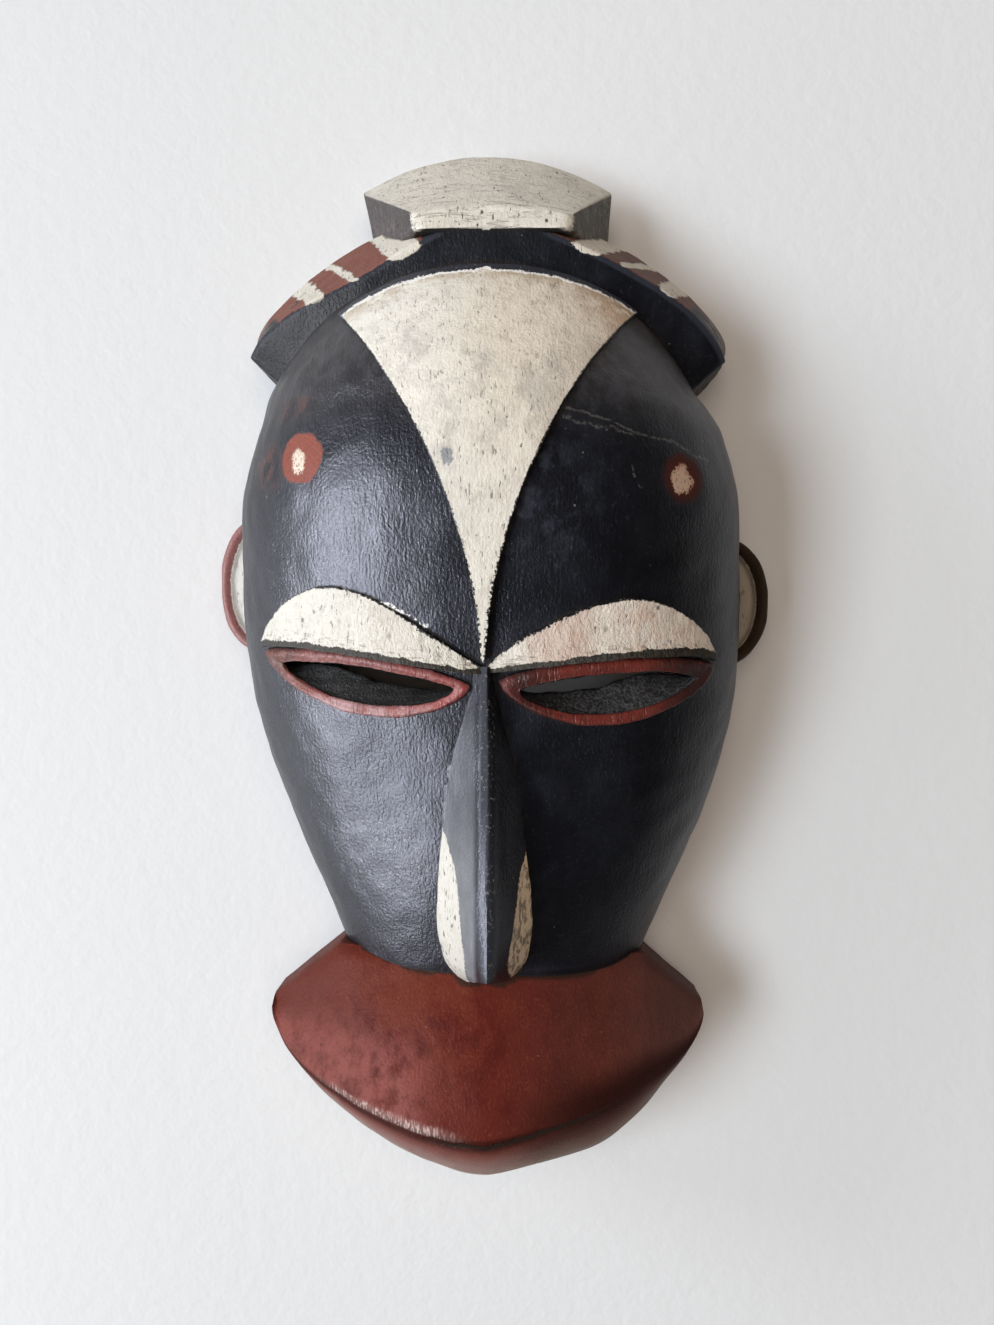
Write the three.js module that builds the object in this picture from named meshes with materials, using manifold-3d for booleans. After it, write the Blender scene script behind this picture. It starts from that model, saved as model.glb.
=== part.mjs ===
// A face mask carved from one block of wood, lying on its back rim with the face up.
// Millimetres. +X is the viewer's right, +Y runs to the top of the head, +Z comes out of the face.
// The origin is under the middle of the outline, in the plane of the back rim.

import * as THREE from 'three';
import { mergeVertices } from 'three/addons/utils/BufferGeometryUtils.js';
import Module from 'manifold-3d';

const wasm = await Module();
wasm.setup();

// The face is laid out from the point between the brows, then moved so that its outline is centred.
const OUTLINE_CENTRE = new THREE.Vector3(1.05, 3.17, 0);

// Head: half width, crown height and centre line, each given at a few heights up the face.
const HEAD_FOOT = -97;
const HEAD_TOP = 132;
const HALF_WIDTH = [[-97, 45.6], [-84, 50.6], [-58, 62], [-32, 72], [-6, 78.2], [20, 79.9],
  [46, 79.9], [66, 76.2], [86, 67.6], [105, 56], [122, 40], [132, 22]];
const CROWN = [[-97, 54], [-92, 58], [-60, 72], [-30, 80], [0, 87], [28, 95],
  [50, 98], [75, 93], [98, 80], [114, 66], [126, 50], [132, 36]];
const CENTRE_LINE = [[-97, 2], [-45, 2.4], [-6, 1.4], [20, 0.5], [46, 0.4], [72, 0.3], [86, -2.2], [132, -1]];
const WIDEST_LEVEL = 22;
const RIM_TAPER = 4;
const CHEEK_ROUNDNESS = 2.2;

// Hollow behind the face.
const WALL = 11;
const CROWN_WALL = 12;
const HOLLOW_FOOT = -83;
const HOLLOW_TOP = 119;

// Raised panel on the forehead, narrowing to a keel between the brows.
const PANEL = {
  leftCorner: [-42.3, 102], rightCorner: [44, 104.4], topMiddle: 116.2, foot: 0.5,
  leftCurve: 1.95, rightCurve: 1.88, topSquareness: 2.3, raise: 2.2, keelRaise: 2.8, keelHalfWidth: 0.6,
};

// Each eye: corners of the slit and of the raised rim round it, and how far their edges bow.
const LEFT_EYE = {
  slitInner: [-8.3, -7.4], slitOuter: [-59.3, -0.1], slitUp: 2.4, slitDown: 8.2,
  rimInner: [-3.6, -6.6], rimOuter: [-66, 3.6], rimUp: 4, rimDown: 13.4,
};
const RIGHT_EYE = {
  slitInner: [10.2, -8.0], slitOuter: [61.5, -4.2], slitUp: 3.2, slitDown: 8.4,
  rimInner: [3.8, -5.2], rimOuter: [67.6, -0.6], rimUp: 4.4, rimDown: 15,
};
const RIM_RAISE = 2.2;
// Section of a rim: share of the way from its outer edge to the slit, and share of its raise.
const RIM_SECTION = [[0, 0.14], [0.2, 0.8], [0.45, 1], [1.04, 0.6]];
const RIM_SINK = 3;
const SLIT_BACK_SHARE = 0.48;

// Each brow: a crescent from the point between the brows, standing out over the eye.
const LEFT_BROW = { outer: [-67.3, 5.4], peak: 18.4, swell: 1.5, fullness: 0.75 };
const RIGHT_BROW = { outer: [67.4, 1.8], peak: 17.2, swell: 1.35, fullness: 0.62 };
const BROW_JUNCTION = [0.3, -1.2];
const BROW_GAP = 0.6;
const BROW_OVERHANG = 4.2;
const BROW_EDGE = 1.2;

// Nose: a long narrow wedge, its ridge nearly straight and a little to the right of its middle.
const NOSE = {
  middle: -0.4, aside: 1.5, top: -1, tip: -88, ridgeTop: 90, ridgeTip: 92, tipLean: 0.24, sink: 1.5,
};
const NOSE_HALF_WIDTH = [[-88, 5.4], [-86.5, 8.6], [-82, 12.6], [-74, 14], [-45, 11.5], [-28, 9.6],
  [-14, 6.2], [-1, 3]];
// Section of the nose: share of its half width, and share of its height.
const NOSE_FLANK = [[1, 0], [0.82, 0.16], [0.5, 0.52], [0.16, 0.92], [0, 1]];

// Band of hair over the forehead: part of a ring about a point on the face.
const BAND = {
  centre: 29.6, creaseRadius: 86, ridgeRadius: 102, outerRadius: 113.5, outerEndRadius: 109,
  rimInset: 4,
  leftEnd: -48.4, rightEnd: 48.8, ridgeTop: 61.5, ridgeEnd: 38, outerTop: 36, outerEnd: 19,
  leftFlat: 7, rightFlat: 3.5, rightDraw: 2.4, leftSpread: 1.2,
  inside: 10, creaseDrop: 1.6, ridgeWidth: 5, ridgeDrop: 0.6,
};

// Crest on top of the band: a block that spreads upwards and leans back.
const CREST = {
  footLeft: [-21.4, 128.8], footRight: [25.2, 128.6], footHeight: 63,
  lipLeft: [-21.8, 134.4], lipRight: [25.6, 133.6], lipArch: 2.6, lipHeight: 61,
  cornerLeft: [-42, 154.8], cornerRight: [40, 153.9], topArch: 12.2, cornerHeight: 23,
  heelLeft: [-36.6, 131], heelRight: [38, 130], back: 5,
};

// Beard: a fan under the face, thickest at its rounded front ridge.
const BEARD = {
  neckLeft: [-46.8, -88.6], neckRight: [48.6, -91.4], cornerLeft: [-69.4, -106.6],
  cornerRight: [68.2, -108.2], bottom: -160.2, squareness: 1.52, neckHeight: 56, neckEdge: 30,
  ridgeHeight: 71, ridgeEdge: 36, outlineHeight: 42, outlineEdge: 30, ridgeShare: 0.72,
  ridgeShareEdge: 0.97, back: 13,
  // The front falls to both sides by this power. At the lower right the outline is fuller.
  slope: 1.7, fuller: 4, fullerPlace: 38, fullerReach: 16,
  // On the right the ridge lies this share further in, most of all at one place along it.
  ridgeDraw: 0.11, ridgeDrawPlace: 0.74, ridgeDrawReach: 0.17,
};

// Ears: flat half rings on the sides of the head, hollowed inside their rims.
const LEFT_EAR = { side: -1, root: -74, reach: 89.5, middle: 26, halfHeight: 22.8, tilt: -0.02 };
const RIGHT_EAR = { side: 1, root: 75, reach: 91.6, middle: 19.8, halfHeight: 21.4, tilt: 0.02 };
const EAR = { rim: 4.2, front: 25, floor: 22, back: 8, sharpness: 0.82 };

// Smooth curve through a list of [place, value] pairs, without overshooting between them.
function curveThrough(stations) {
  const xs = stations.map((s) => s[0]);
  const ys = stations.map((s) => s[1]);
  const rises = [];
  for (let i = 0; i < xs.length - 1; i++) rises.push((ys[i + 1] - ys[i]) / (xs[i + 1] - xs[i]));
  const slopes = xs.map((x, i) => {
    if (i === 0) return rises[0];
    if (i === xs.length - 1) return rises[i - 1];
    if (rises[i - 1] * rises[i] <= 0) return 0;
    const before = xs[i] - xs[i - 1];
    const after = xs[i + 1] - xs[i];
    const a = 2 * after + before;
    const b = after + 2 * before;
    return (a + b) / (a / rises[i - 1] + b / rises[i]);
  });
  return (x) => {
    const at = Math.min(Math.max(x, xs[0]), xs[xs.length - 1]);
    let i = 0;
    while (i < xs.length - 2 && at > xs[i + 1]) i++;
    const step = xs[i + 1] - xs[i];
    const t = (at - xs[i]) / step;
    const blend = t * t * (3 - 2 * t);
    return ys[i] * (1 - blend) + ys[i + 1] * blend
      + step * t * (1 - t) * (slopes[i] * (1 - t) - slopes[i + 1] * t);
  };
}

const mix = (a, b, t) => a + (b - a) * t;
const mixPoint = (a, b, t) => [mix(a[0], b[0], t), mix(a[1], b[1], t)];
const steps = (count) => Array.from({ length: count + 1 }, (_, i) => i / count);

// Turns points and faces into a solid, once doubled points are merged and empty faces dropped.
function solidFrom(points, faces) {
  const loose = new THREE.BufferGeometry();
  loose.setAttribute('position', new THREE.Float32BufferAttribute(points.flatMap((p) => p.toArray()), 3));
  loose.setIndex(faces.flat());
  const merged = mergeVertices(loose, 1e-3);
  const index = Array.from(merged.getIndex().array);
  let triangles = [];
  for (let i = 0; i < index.length; i += 3) {
    const [a, b, c] = index.slice(i, i + 3);
    if (a !== b && b !== c && c !== a) triangles.push([a, b, c]);
  }
  const position = merged.getAttribute('position');
  const corner = (i) => new THREE.Vector3().fromBufferAttribute(position, i);
  const volume = triangles.reduce((sum, [a, b, c]) => sum + corner(a).dot(corner(b).cross(corner(c))), 0);
  if (volume < 0) triangles = triangles.map(([a, b, c]) => [a, c, b]);
  return new wasm.Manifold(new wasm.Mesh({
    numProp: 3,
    vertProperties: Float32Array.from(position.array),
    triVerts: Uint32Array.from(triangles.flat()),
  }));
}

// Walls between neighbouring rings of points. The rings run in a circle, or a fan closes each end.
function loft(rings, circular = false) {
  const count = rings[0].length;
  const points = rings.flat();
  const faces = [];
  const walls = circular ? rings.length : rings.length - 1;
  for (let i = 0; i < walls; i++) {
    const near = i * count;
    const far = ((i + 1) % rings.length) * count;
    for (let j = 0; j < count; j++) {
      const k = (j + 1) % count;
      faces.push([near + j, far + j, far + k], [near + j, far + k, near + k]);
    }
  }
  if (!circular) {
    const ends = [[0, false], [(rings.length - 1) * count, true]];
    for (const [start, turned] of ends) {
      const middle = points.length;
      const ring = points.slice(start, start + count);
      points.push(ring.reduce((sum, p) => sum.add(p), new THREE.Vector3()).divideScalar(count));
      for (let j = 0; j < count; j++) {
        const k = (j + 1) % count;
        faces.push(turned ? [middle, start + k, start + j] : [middle, start + j, start + k]);
      }
    }
  }
  return solidFrom(points, faces);
}

const halfWidth = curveThrough(HALF_WIDTH);
const crown = curveThrough(CROWN);
const centreLine = curveThrough(CENTRE_LINE);
const noseHalfWidth = curveThrough(NOSE_HALF_WIDTH);

// Height of the head's surface over a point of the face.
function headHeight(x, y) {
  const across = Math.min(Math.abs(x - centreLine(y)) / halfWidth(y), 0.999);
  const share = (1 - across ** CHEEK_ROUNDNESS) ** (1 / CHEEK_ROUNDNESS);
  return WIDEST_LEVEL + (crown(y) - WIDEST_LEVEL) * share;
}

// A point over the face, raised from the head's surface along its normal.
function onHead(x, y, raise = 0) {
  const reach = 0.5;
  const slopeX = (headHeight(x + reach, y) - headHeight(x - reach, y)) / (2 * reach);
  const slopeY = (headHeight(x, y + reach) - headHeight(x, y - reach)) / (2 * reach);
  const normal = new THREE.Vector3(-slopeX, -slopeY, 1).normalize();
  return new THREE.Vector3(x, y, headHeight(x, y)).addScaledVector(normal, raise);
}

// Cross-section of the head at one height: a rounded arch on straight sides.
function headRing(y, width, height, foot, segments) {
  const ring = [];
  for (const t of steps(segments)) {
    const angle = Math.PI * t;
    const across = Math.sign(Math.cos(angle)) * Math.abs(Math.cos(angle)) ** (2 / CHEEK_ROUNDNESS);
    const up = Math.sin(angle) ** (2 / CHEEK_ROUNDNESS);
    const z = WIDEST_LEVEL + (height - WIDEST_LEVEL) * up;
    ring.push(new THREE.Vector3(centreLine(y) + width * across, y, z));
  }
  ring.push(new THREE.Vector3(centreLine(y) - width + RIM_TAPER, y, foot));
  ring.push(new THREE.Vector3(centreLine(y) + width - RIM_TAPER, y, foot));
  return ring;
}

function headBlock() {
  const rings = steps(30).map((t) => {
    const y = mix(HEAD_FOOT, HEAD_TOP, t);
    return headRing(y, halfWidth(y), crown(y), 0, 26);
  });
  return loft(rings);
}

// The hollow follows the face at the wall's thickness, and closes in a round at both ends.
function hollowSpace() {
  const middle = (HOLLOW_FOOT + HOLLOW_TOP) / 2;
  const reach = (HOLLOW_TOP - HOLLOW_FOOT) / 2;
  const rings = steps(20).map((t) => {
    const place = -Math.cos(Math.PI * t) * 0.995;
    const y = middle + reach * place;
    const closing = (1 - Math.abs(place) ** 5) ** 0.4;
    const width = (halfWidth(y) - WALL) * closing;
    const height = mix(WIDEST_LEVEL, crown(y) - CROWN_WALL, closing);
    return headRing(y, width, height, -6, 18);
  });
  return loft(rings);
}

// A slab that lies on the head: its top and bottom are grids over the same points of the face.
function slabOnHead(place, raise, along, across, sink = 2.5) {
  const rings = steps(along).map((u) => {
    const top = steps(across).map((v) => onHead(...place(u, v), raise(u, v)));
    const bottom = steps(across).map((v) => onHead(...place(u, v), -sink));
    return top.concat(bottom.reverse());
  });
  return loft(rings);
}

function foreheadPanel() {
  const { leftCorner, rightCorner, topMiddle } = PANEL;
  const place = (u, v) => {
    const grow = mix(0.02, 1, u);
    const left = leftCorner[0] * grow ** PANEL.leftCurve - PANEL.keelHalfWidth;
    const right = rightCorner[0] * grow ** PANEL.rightCurve + PANEL.keelHalfWidth;
    const corner = v < 0.5 ? leftCorner[1] : rightCorner[1];
    const top = topMiddle - (topMiddle - corner) * Math.abs(2 * v - 1) ** PANEL.topSquareness;
    return [mix(left, right, v), mix(PANEL.foot, top, u)];
  };
  return slabOnHead(place, (u) => mix(PANEL.keelRaise, PANEL.raise, Math.min(u * 3, 1)), 16, 8);
}

// One edge of an almond outline: u runs from its inner to its outer corner.
function almondEdge(inner, outer, bow, fullness, u) {
  const [x, y] = mixPoint(inner, outer, u);
  return [x, y + bow * Math.sin(Math.PI * u) ** fullness];
}

const slitTop = (eye, u) => almondEdge(eye.slitInner, eye.slitOuter, eye.slitUp, 0.6, u);
const slitBottom = (eye, u) => almondEdge(eye.slitInner, eye.slitOuter, -eye.slitDown, 0.6, u);
const rimTop = (eye, u) => almondEdge(eye.rimInner, eye.rimOuter, eye.rimUp, 0.5, u);
const rimBottom = (eye, u) => almondEdge(eye.rimInner, eye.rimOuter, -eye.rimDown, 0.6, u);

// Places round an almond, close together at its corners: out along the top, back along the bottom.
function roundAlmond(top, bottom, segments) {
  const spread = (t) => (1 - Math.cos(Math.PI * t)) / 2;
  const out = steps(segments).map((t) => top(spread(t)));
  const back = steps(segments).map((t) => bottom(spread(1 - t)));
  return out.concat(back.slice(1, -1));
}

function eyeRim(eye) {
  const outer = roundAlmond((u) => rimTop(eye, u), (u) => rimBottom(eye, u), 13);
  const inner = roundAlmond((u) => slitTop(eye, u), (u) => slitBottom(eye, u), 13);
  const rings = outer.map((edge, i) => {
    const at = (share, raise) => onHead(...mixPoint(edge, inner[i], share), raise);
    const top = RIM_SECTION.map(([share, up]) => at(share, up * RIM_RAISE));
    const lipShare = RIM_SECTION[RIM_SECTION.length - 1][0];
    return [at(0, -RIM_SINK), ...top, at(lipShare, -RIM_SINK)];
  });
  return loft(rings, true);
}

// The slit narrows towards the hollow, so that its lower side slopes up to the back.
function eyeSlit(eye) {
  const outline = (share, z) => roundAlmond(
    (u) => slitTop(eye, u),
    (u) => mixPoint(slitTop(eye, u), slitBottom(eye, u), share),
    13,
  ).map(([x, y]) => new THREE.Vector3(x, y, z ?? headHeight(x, y) + 6));
  const front = outline(1);
  const back = outline(SLIT_BACK_SHARE).map((p) => p.setZ(headHeight(p.x, p.y) - 2.2 * CROWN_WALL));
  return loft([front, back]);
}

function brow(eye, shape) {
  const lower = (u) => {
    const [x, y] = rimTop(eye, u);
    const pull = (1 - u) ** 4;
    return [mix(x, BROW_JUNCTION[0], pull), mix(y + BROW_GAP, BROW_JUNCTION[1] - 1, pull)];
  };
  const upper = (u) => {
    const [x, y] = mixPoint(BROW_JUNCTION, shape.outer, u);
    return [x, y + shape.peak * Math.sin(Math.PI * u ** shape.swell) ** shape.fullness];
  };
  const place = (u, v) => mixPoint(lower(u), upper(u), v);
  const raise = (u, v) => BROW_EDGE + BROW_OVERHANG * (1 - v) ** 1.3 * Math.sin(Math.PI * u) ** 0.6;
  return slabOnHead((u, v) => place(mix(0.01, 0.995, u), v), raise, 16, 4);
}

// Cross-sections lean back towards the foot, so that the nose ends in a steep face over the beard.
function nose() {
  const rings = steps(18).map((s) => {
    const t = Math.sin(Math.PI * s / 2);
    const y = mix(NOSE.top, NOSE.tip, t);
    const lean = NOSE.tipLean * t ** 4;
    const half = noseHalfWidth(y);
    const ridge = mix(NOSE.ridgeTop, NOSE.ridgeTip, t);
    const ground = headHeight(NOSE.middle, y);
    const at = (side, out, up) => {
      const z = mix(ground - NOSE.sink, ridge, up);
      const x = NOSE.middle + side * out * half + NOSE.aside * Math.max(up, 0);
      return new THREE.Vector3(x, y - lean * (ridge - z), z);
    };
    const left = NOSE_FLANK.map(([out, up]) => at(-1, out, up));
    const right = NOSE_FLANK.slice(0, -1).reverse().map(([out, up]) => at(1, out, up));
    return [at(-1, 1, -0.25), ...left, ...right, at(1, 1, -0.25)];
  });
  return loft(rings);
}

// Cross-sections of the band stand on lines through its centre, from one flat end to the other.
function hairBand() {
  const rings = steps(34).map((t) => {
    const degrees = mix(BAND.leftEnd, BAND.rightEnd, t);
    const angle = THREE.MathUtils.degToRad(degrees);
    const share = Math.abs(2 * t - 1);
    const flat = (t < 0.5 ? BAND.leftFlat : BAND.rightFlat) * Math.sin(Math.PI * 2 * t) ** 2;
    const draw = t < 0.5 ? 0 : BAND.rightDraw * share ** 6;
    const ridgeRadius = BAND.ridgeRadius - flat - draw;
    const spread = t < 0.5 ? BAND.leftSpread : 0;
    const outerRadius = mix(
      mix(BAND.outerRadius, BAND.outerEndRadius, share ** 1.5) + spread, ridgeRadius, share ** 26);
    const ridge = mix(BAND.ridgeTop, BAND.ridgeEnd, share ** 2.6);
    const outer = mix(BAND.outerTop, BAND.outerEnd, share ** 1.5);
    const at = (radius, z) => new THREE.Vector3(
      radius * Math.sin(angle), BAND.centre + radius * Math.cos(angle), z);
    return [
      at(BAND.creaseRadius - BAND.inside, 0),
      at(BAND.creaseRadius - BAND.inside, ridge - 1.2 * BAND.inside),
      at(BAND.creaseRadius, ridge - BAND.creaseDrop),
      at(ridgeRadius - BAND.ridgeWidth, ridge - BAND.ridgeDrop),
      at(ridgeRadius, ridge),
      at(outerRadius, outer),
      at(outerRadius - BAND.rimInset, 0),
    ];
  });
  return loft(rings);
}

// Outlines of the crest from its small front to its wide back, each arched along its top.
function crestBlock() {
  const outline = (heelLeft, heelRight, cornerLeft, cornerRight, arch, heelZ, cornerZ) => {
    const low = steps(4).map((t) => new THREE.Vector3(...mixPoint(heelLeft, heelRight, t), heelZ));
    const high = steps(12).map((t) => {
      const [x, y] = mixPoint(cornerRight, cornerLeft, t);
      return new THREE.Vector3(x, y + arch * (1 - (2 * t - 1) ** 2), cornerZ);
    });
    return low.concat(high);
  };
  const front = outline(CREST.footLeft, CREST.footRight, CREST.lipLeft, CREST.lipRight,
    CREST.lipArch, CREST.footHeight, CREST.lipHeight);
  const wide = outline(CREST.heelLeft, CREST.heelRight, CREST.cornerLeft, CREST.cornerRight,
    CREST.topArch, CREST.cornerHeight, CREST.cornerHeight);
  const back = wide.map((p) => new THREE.Vector3(p.x * 0.93, mix(p.y, 140, 0.12), CREST.back));
  const between = [0.33, 0.67].map((t) => front.map((p, i) => p.clone().lerp(wide[i], t)));
  return loft([front, ...between, wide, back]);
}

// A rounded bump, 1 at its middle.
function swell(away) {
  return Math.exp(-(away ** 2));
}

function beard() {
  const { neckLeft, neckRight, cornerLeft, cornerRight, bottom, squareness } = BEARD;
  const middleX = (cornerLeft[0] + cornerRight[0]) / 2;
  const halfSpan = (cornerRight[0] - cornerLeft[0]) / 2;
  const topEdge = (u) => {
    const x = middleX - halfSpan * Math.cos(Math.PI * u);
    const between = (from, to) => mixPoint(from, to, (x - from[0]) / (to[0] - from[0]));
    if (x < neckLeft[0]) return between(cornerLeft, neckLeft);
    if (x > neckRight[0]) return between(cornerRight, neckRight);
    return between(neckLeft, neckRight);
  };
  const outline = (u) => {
    const share = Math.cos(Math.PI * u);
    const x = middleX - halfSpan * share;
    const corner = mix(cornerLeft[1], cornerRight[1], u) - 3.4;
    const drop = (1 - Math.abs(share) ** squareness) ** (1 / squareness);
    const fuller = BEARD.fuller * swell((x - BEARD.fullerPlace) / BEARD.fullerReach);
    return [x, corner + (bottom - corner) * drop - fuller];
  };
  const rings = steps(26).map((u) => {
    const middle = Math.sin(Math.PI * u);
    const rise = 1 - Math.abs(Math.cos(Math.PI * u)) ** BEARD.slope;
    const neck = mix(BEARD.neckEdge, BEARD.neckHeight, rise);
    const ridge = mix(BEARD.ridgeEdge, BEARD.ridgeHeight, rise);
    const edge = mix(BEARD.outlineEdge, BEARD.outlineHeight, middle);
    const at = (v, z) => new THREE.Vector3(...mixPoint(topEdge(u), outline(u), v), z);
    const draw = BEARD.ridgeDraw * swell((u - BEARD.ridgeDrawPlace) / BEARD.ridgeDrawReach);
    const share = mix(BEARD.ridgeShareEdge, BEARD.ridgeShare, middle ** 1.7) - draw;
    return [
      at(0, BEARD.back), at(0, neck - 3), at(0.05, neck), at(0.5 * share, mix(neck, ridge, 0.58)),
      at(share, ridge), at(mix(share, 1, 0.35), ridge - 0.14 * (ridge - edge)),
      at(mix(share, 1, 0.75), mix(edge, ridge, 0.5)), at(1, edge),
      at(0.97, mix(BEARD.back, edge, 0.3)), at(0.85, BEARD.back),
    ];
  });
  return loft(rings);
}

// The ear is a half ring; its floor lies behind the rim, and deepest next to the head.
function ear(shape) {
  const reach = shape.reach - Math.abs(shape.root);
  const at = (t, inset, z) => {
    const angle = Math.PI * t;
    const out = Math.sin(angle) ** EAR.sharpness * (reach - inset);
    const up = Math.cos(angle) * (shape.halfHeight - inset);
    return new THREE.Vector3(shape.root + shape.side * out, shape.middle + up + shape.tilt * out, z);
  };
  const body = steps(20).map((t) => [
    at(t, 1.2, EAR.back), at(t, 0, mix(EAR.back, EAR.front, 0.4)), at(t, 0.6, EAR.front - 1),
    at(t, 0.5 * EAR.rim, EAR.front), at(t, EAR.rim, EAR.front - 1.6), at(t, EAR.rim + 0.8, EAR.floor),
    at(t, EAR.rim + 5.4, EAR.floor - 0.5), at(t, EAR.rim + 6, EAR.floor - 4), at(t, reach - 1, EAR.floor - 4),
    at(t, reach - 1, EAR.back),
  ]);
  return loft(body);
}

function maskGeometry() {
  const solids = [headBlock(), foreheadPanel(), nose(), hairBand(), crestBlock(), beard(),
    ear(LEFT_EAR), ear(RIGHT_EAR), brow(LEFT_EYE, LEFT_BROW), brow(RIGHT_EYE, RIGHT_BROW),
    eyeRim(LEFT_EYE), eyeRim(RIGHT_EYE)];
  const cuts = [hollowSpace(), eyeSlit(LEFT_EYE), eyeSlit(RIGHT_EYE)];
  let block = solids[0];
  for (const solid of solids.slice(1)) block = block.add(solid);
  for (const cut of cuts) block = block.subtract(cut);
  const mesh = block.getMesh();
  const geometry = new THREE.BufferGeometry();
  geometry.setAttribute('position', new THREE.Float32BufferAttribute(mesh.vertProperties, 3));
  geometry.setIndex(Array.from(mesh.triVerts));
  geometry.translate(-OUTLINE_CENTRE.x, -OUTLINE_CENTRE.y, -OUTLINE_CENTRE.z);
  geometry.computeVertexNormals();
  return geometry;
}

const group = new THREE.Group();
const paintedWood = new THREE.MeshStandardMaterial({ color: 0x26262b, roughness: 0.45, metalness: 0 });
const mask = new THREE.Mesh(maskGeometry(), paintedWood);
mask.name = 'mask';
group.add(mask);

export default group;
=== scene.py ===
"""A carved and painted wooden face mask, lying on its back on a pale floor.

Lengths are in metres. The face is laid out from the point between the brows, with X to the
viewer's right, Y to the crest and Z out of the face, and moved at the end so that its outline
is centred on the origin.
"""

import math
from functools import partial

import bpy
import numpy as np
from bpy.props import FloatProperty, FloatVectorProperty, PointerProperty
from mathutils import Matrix, Vector


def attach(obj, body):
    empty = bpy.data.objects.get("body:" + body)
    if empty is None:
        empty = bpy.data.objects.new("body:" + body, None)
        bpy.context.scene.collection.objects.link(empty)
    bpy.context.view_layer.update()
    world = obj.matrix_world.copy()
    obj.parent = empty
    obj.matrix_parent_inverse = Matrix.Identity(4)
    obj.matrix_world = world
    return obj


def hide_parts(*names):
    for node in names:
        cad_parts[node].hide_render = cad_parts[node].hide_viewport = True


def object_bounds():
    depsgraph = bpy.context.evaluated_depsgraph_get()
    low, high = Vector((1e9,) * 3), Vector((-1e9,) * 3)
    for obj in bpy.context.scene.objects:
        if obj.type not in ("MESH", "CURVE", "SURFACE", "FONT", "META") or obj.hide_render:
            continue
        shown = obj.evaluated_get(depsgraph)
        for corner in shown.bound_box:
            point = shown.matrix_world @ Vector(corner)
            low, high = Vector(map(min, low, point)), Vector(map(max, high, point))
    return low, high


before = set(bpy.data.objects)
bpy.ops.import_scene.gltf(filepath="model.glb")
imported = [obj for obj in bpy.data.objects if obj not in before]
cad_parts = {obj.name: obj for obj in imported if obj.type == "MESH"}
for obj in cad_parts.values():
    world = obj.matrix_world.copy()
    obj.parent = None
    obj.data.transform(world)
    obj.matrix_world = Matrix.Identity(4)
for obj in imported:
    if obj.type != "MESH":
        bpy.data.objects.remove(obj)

bl_info = {
    "name": "Carved face mask",
    "version": (1, 0, 0),
    "blender": (4, 5, 0),
    "location": "3D View > Sidebar > Mask",
    "description": "Carves a painted wooden face mask part by part, and lights it on a pale floor",
    "category": "Object",
}

CAD_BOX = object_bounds()
MM = 0.001
# Spacing in millimetres that leaves a stretch of a section without points between its ends.
WHOLE = 1000
# Tint of the shine on the black paint.
BLUISH = (0.87, 0.87, 1.0)
OUTLINE_CENTRE = np.array([1.05, 3.17, 0.0]) * MM

# Shape of the head in millimetres, each value at a height up the face.
HALF_WIDTH = [(-97, 45.6), (-84, 50.6), (-58, 62), (-32, 72), (-6, 78.2), (20, 79.9),
              (46, 79.9), (66, 76.2), (86, 67.6), (105, 56), (122, 40), (132, 22)]
CROWN = [(-97, 54), (-92, 58), (-60, 72), (-30, 80), (0, 87), (28, 95),
         (50, 98), (75, 93), (98, 80), (114, 66), (126, 50), (132, 36)]
CENTRE_LINE = [(-97, 2), (-45, 2.4), (-6, 1.4), (20, 0.5), (46, 0.4), (72, 0.3), (86, -2.2),
               (132, -1)]
NOSE_HALF_WIDTH = [(-88, 5.4), (-86.5, 8.6), (-82, 12.6), (-74, 14), (-45, 11.5), (-28, 9.6),
                   (-14, 6.2), (-1, 3)]
# Section of the nose: share of its half width, and share of its height.
NOSE_FLANK = [(0, 1), (0.16, 0.92), (0.5, 0.52), (0.82, 0.16), (1, 0)]
# Inner edges of the pale patches low on the nose, in millimetres across at a height up the face.
LEFT_PATCH = [(-96, -5.0), (-86, -5.8), (-75, -6.7), (-63, -7.6), (-54, -9.8), (-47, -12.4),
              (-38, -17)]
RIGHT_PATCH = [(-96, 7.4), (-88, 6.6), (-77, 8.0), (-69, 9.2), (-60, 10.4), (-53, 12.4), (-44, 16)]
# Lines along the eye rims: share of the way from the rim's outer edge to the slit, and share of its lift.
RIM_SECTION = ((0.0, 0.14), (0.2, 0.8), (0.45, 1.0), (1.04, 0.6))
# Pale blocks on the band: middle and half width in degrees, slant across the band, and the line that
# they start at.
PALE_BLOCKS = (
    (-15.6, 2.9, 2.2, 3.52), (-25.8, 0.75, 3.2, 3.86), (-33.1, 1.8, 1.0, 3.78),
    (18.6, 2.7, 2.4, 3.70), (25.6, 1.1, 4.0, 3.95), (33.4, 2.0, 0.6, 3.88),
)
# Lights: name, place, size, colour, and the kind of surface that doesn't show them.
LIGHTS = (
    ("key", (-2.04, -0.36, 2.95), (1.95, 1.2), (0.80, 0.90, 1.0), "glossy"),
    ("side", (-3.04, 1.35, 1.35), (1.35, 1.05), (0.84, 0.90, 1.0), "glossy"),
    ("ceiling", (0.08, 0.25, 1.97), (1.2, 1.2), (1.0, 0.84, 0.72), "glossy"),
    ("window", (-1.38, 0.05, 0.96), (0.8, 0.4), (0.92, 0.955, 1.0), "diffuse"),
    ("low_window", (-1.2, -0.75, 0.8), (1.1, 0.7), (0.92, 0.955, 1.0), "diffuse"),
)


def length(text, value):
    return partial(FloatProperty, description=text, default=value, unit="LENGTH", precision=4)


def spot(text, value):
    return partial(FloatVectorProperty, description=text, default=value, size=2, unit="LENGTH")


def pair(text, value):
    return partial(FloatVectorProperty, description=text + ", left and right", default=value, size=2)


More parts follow.
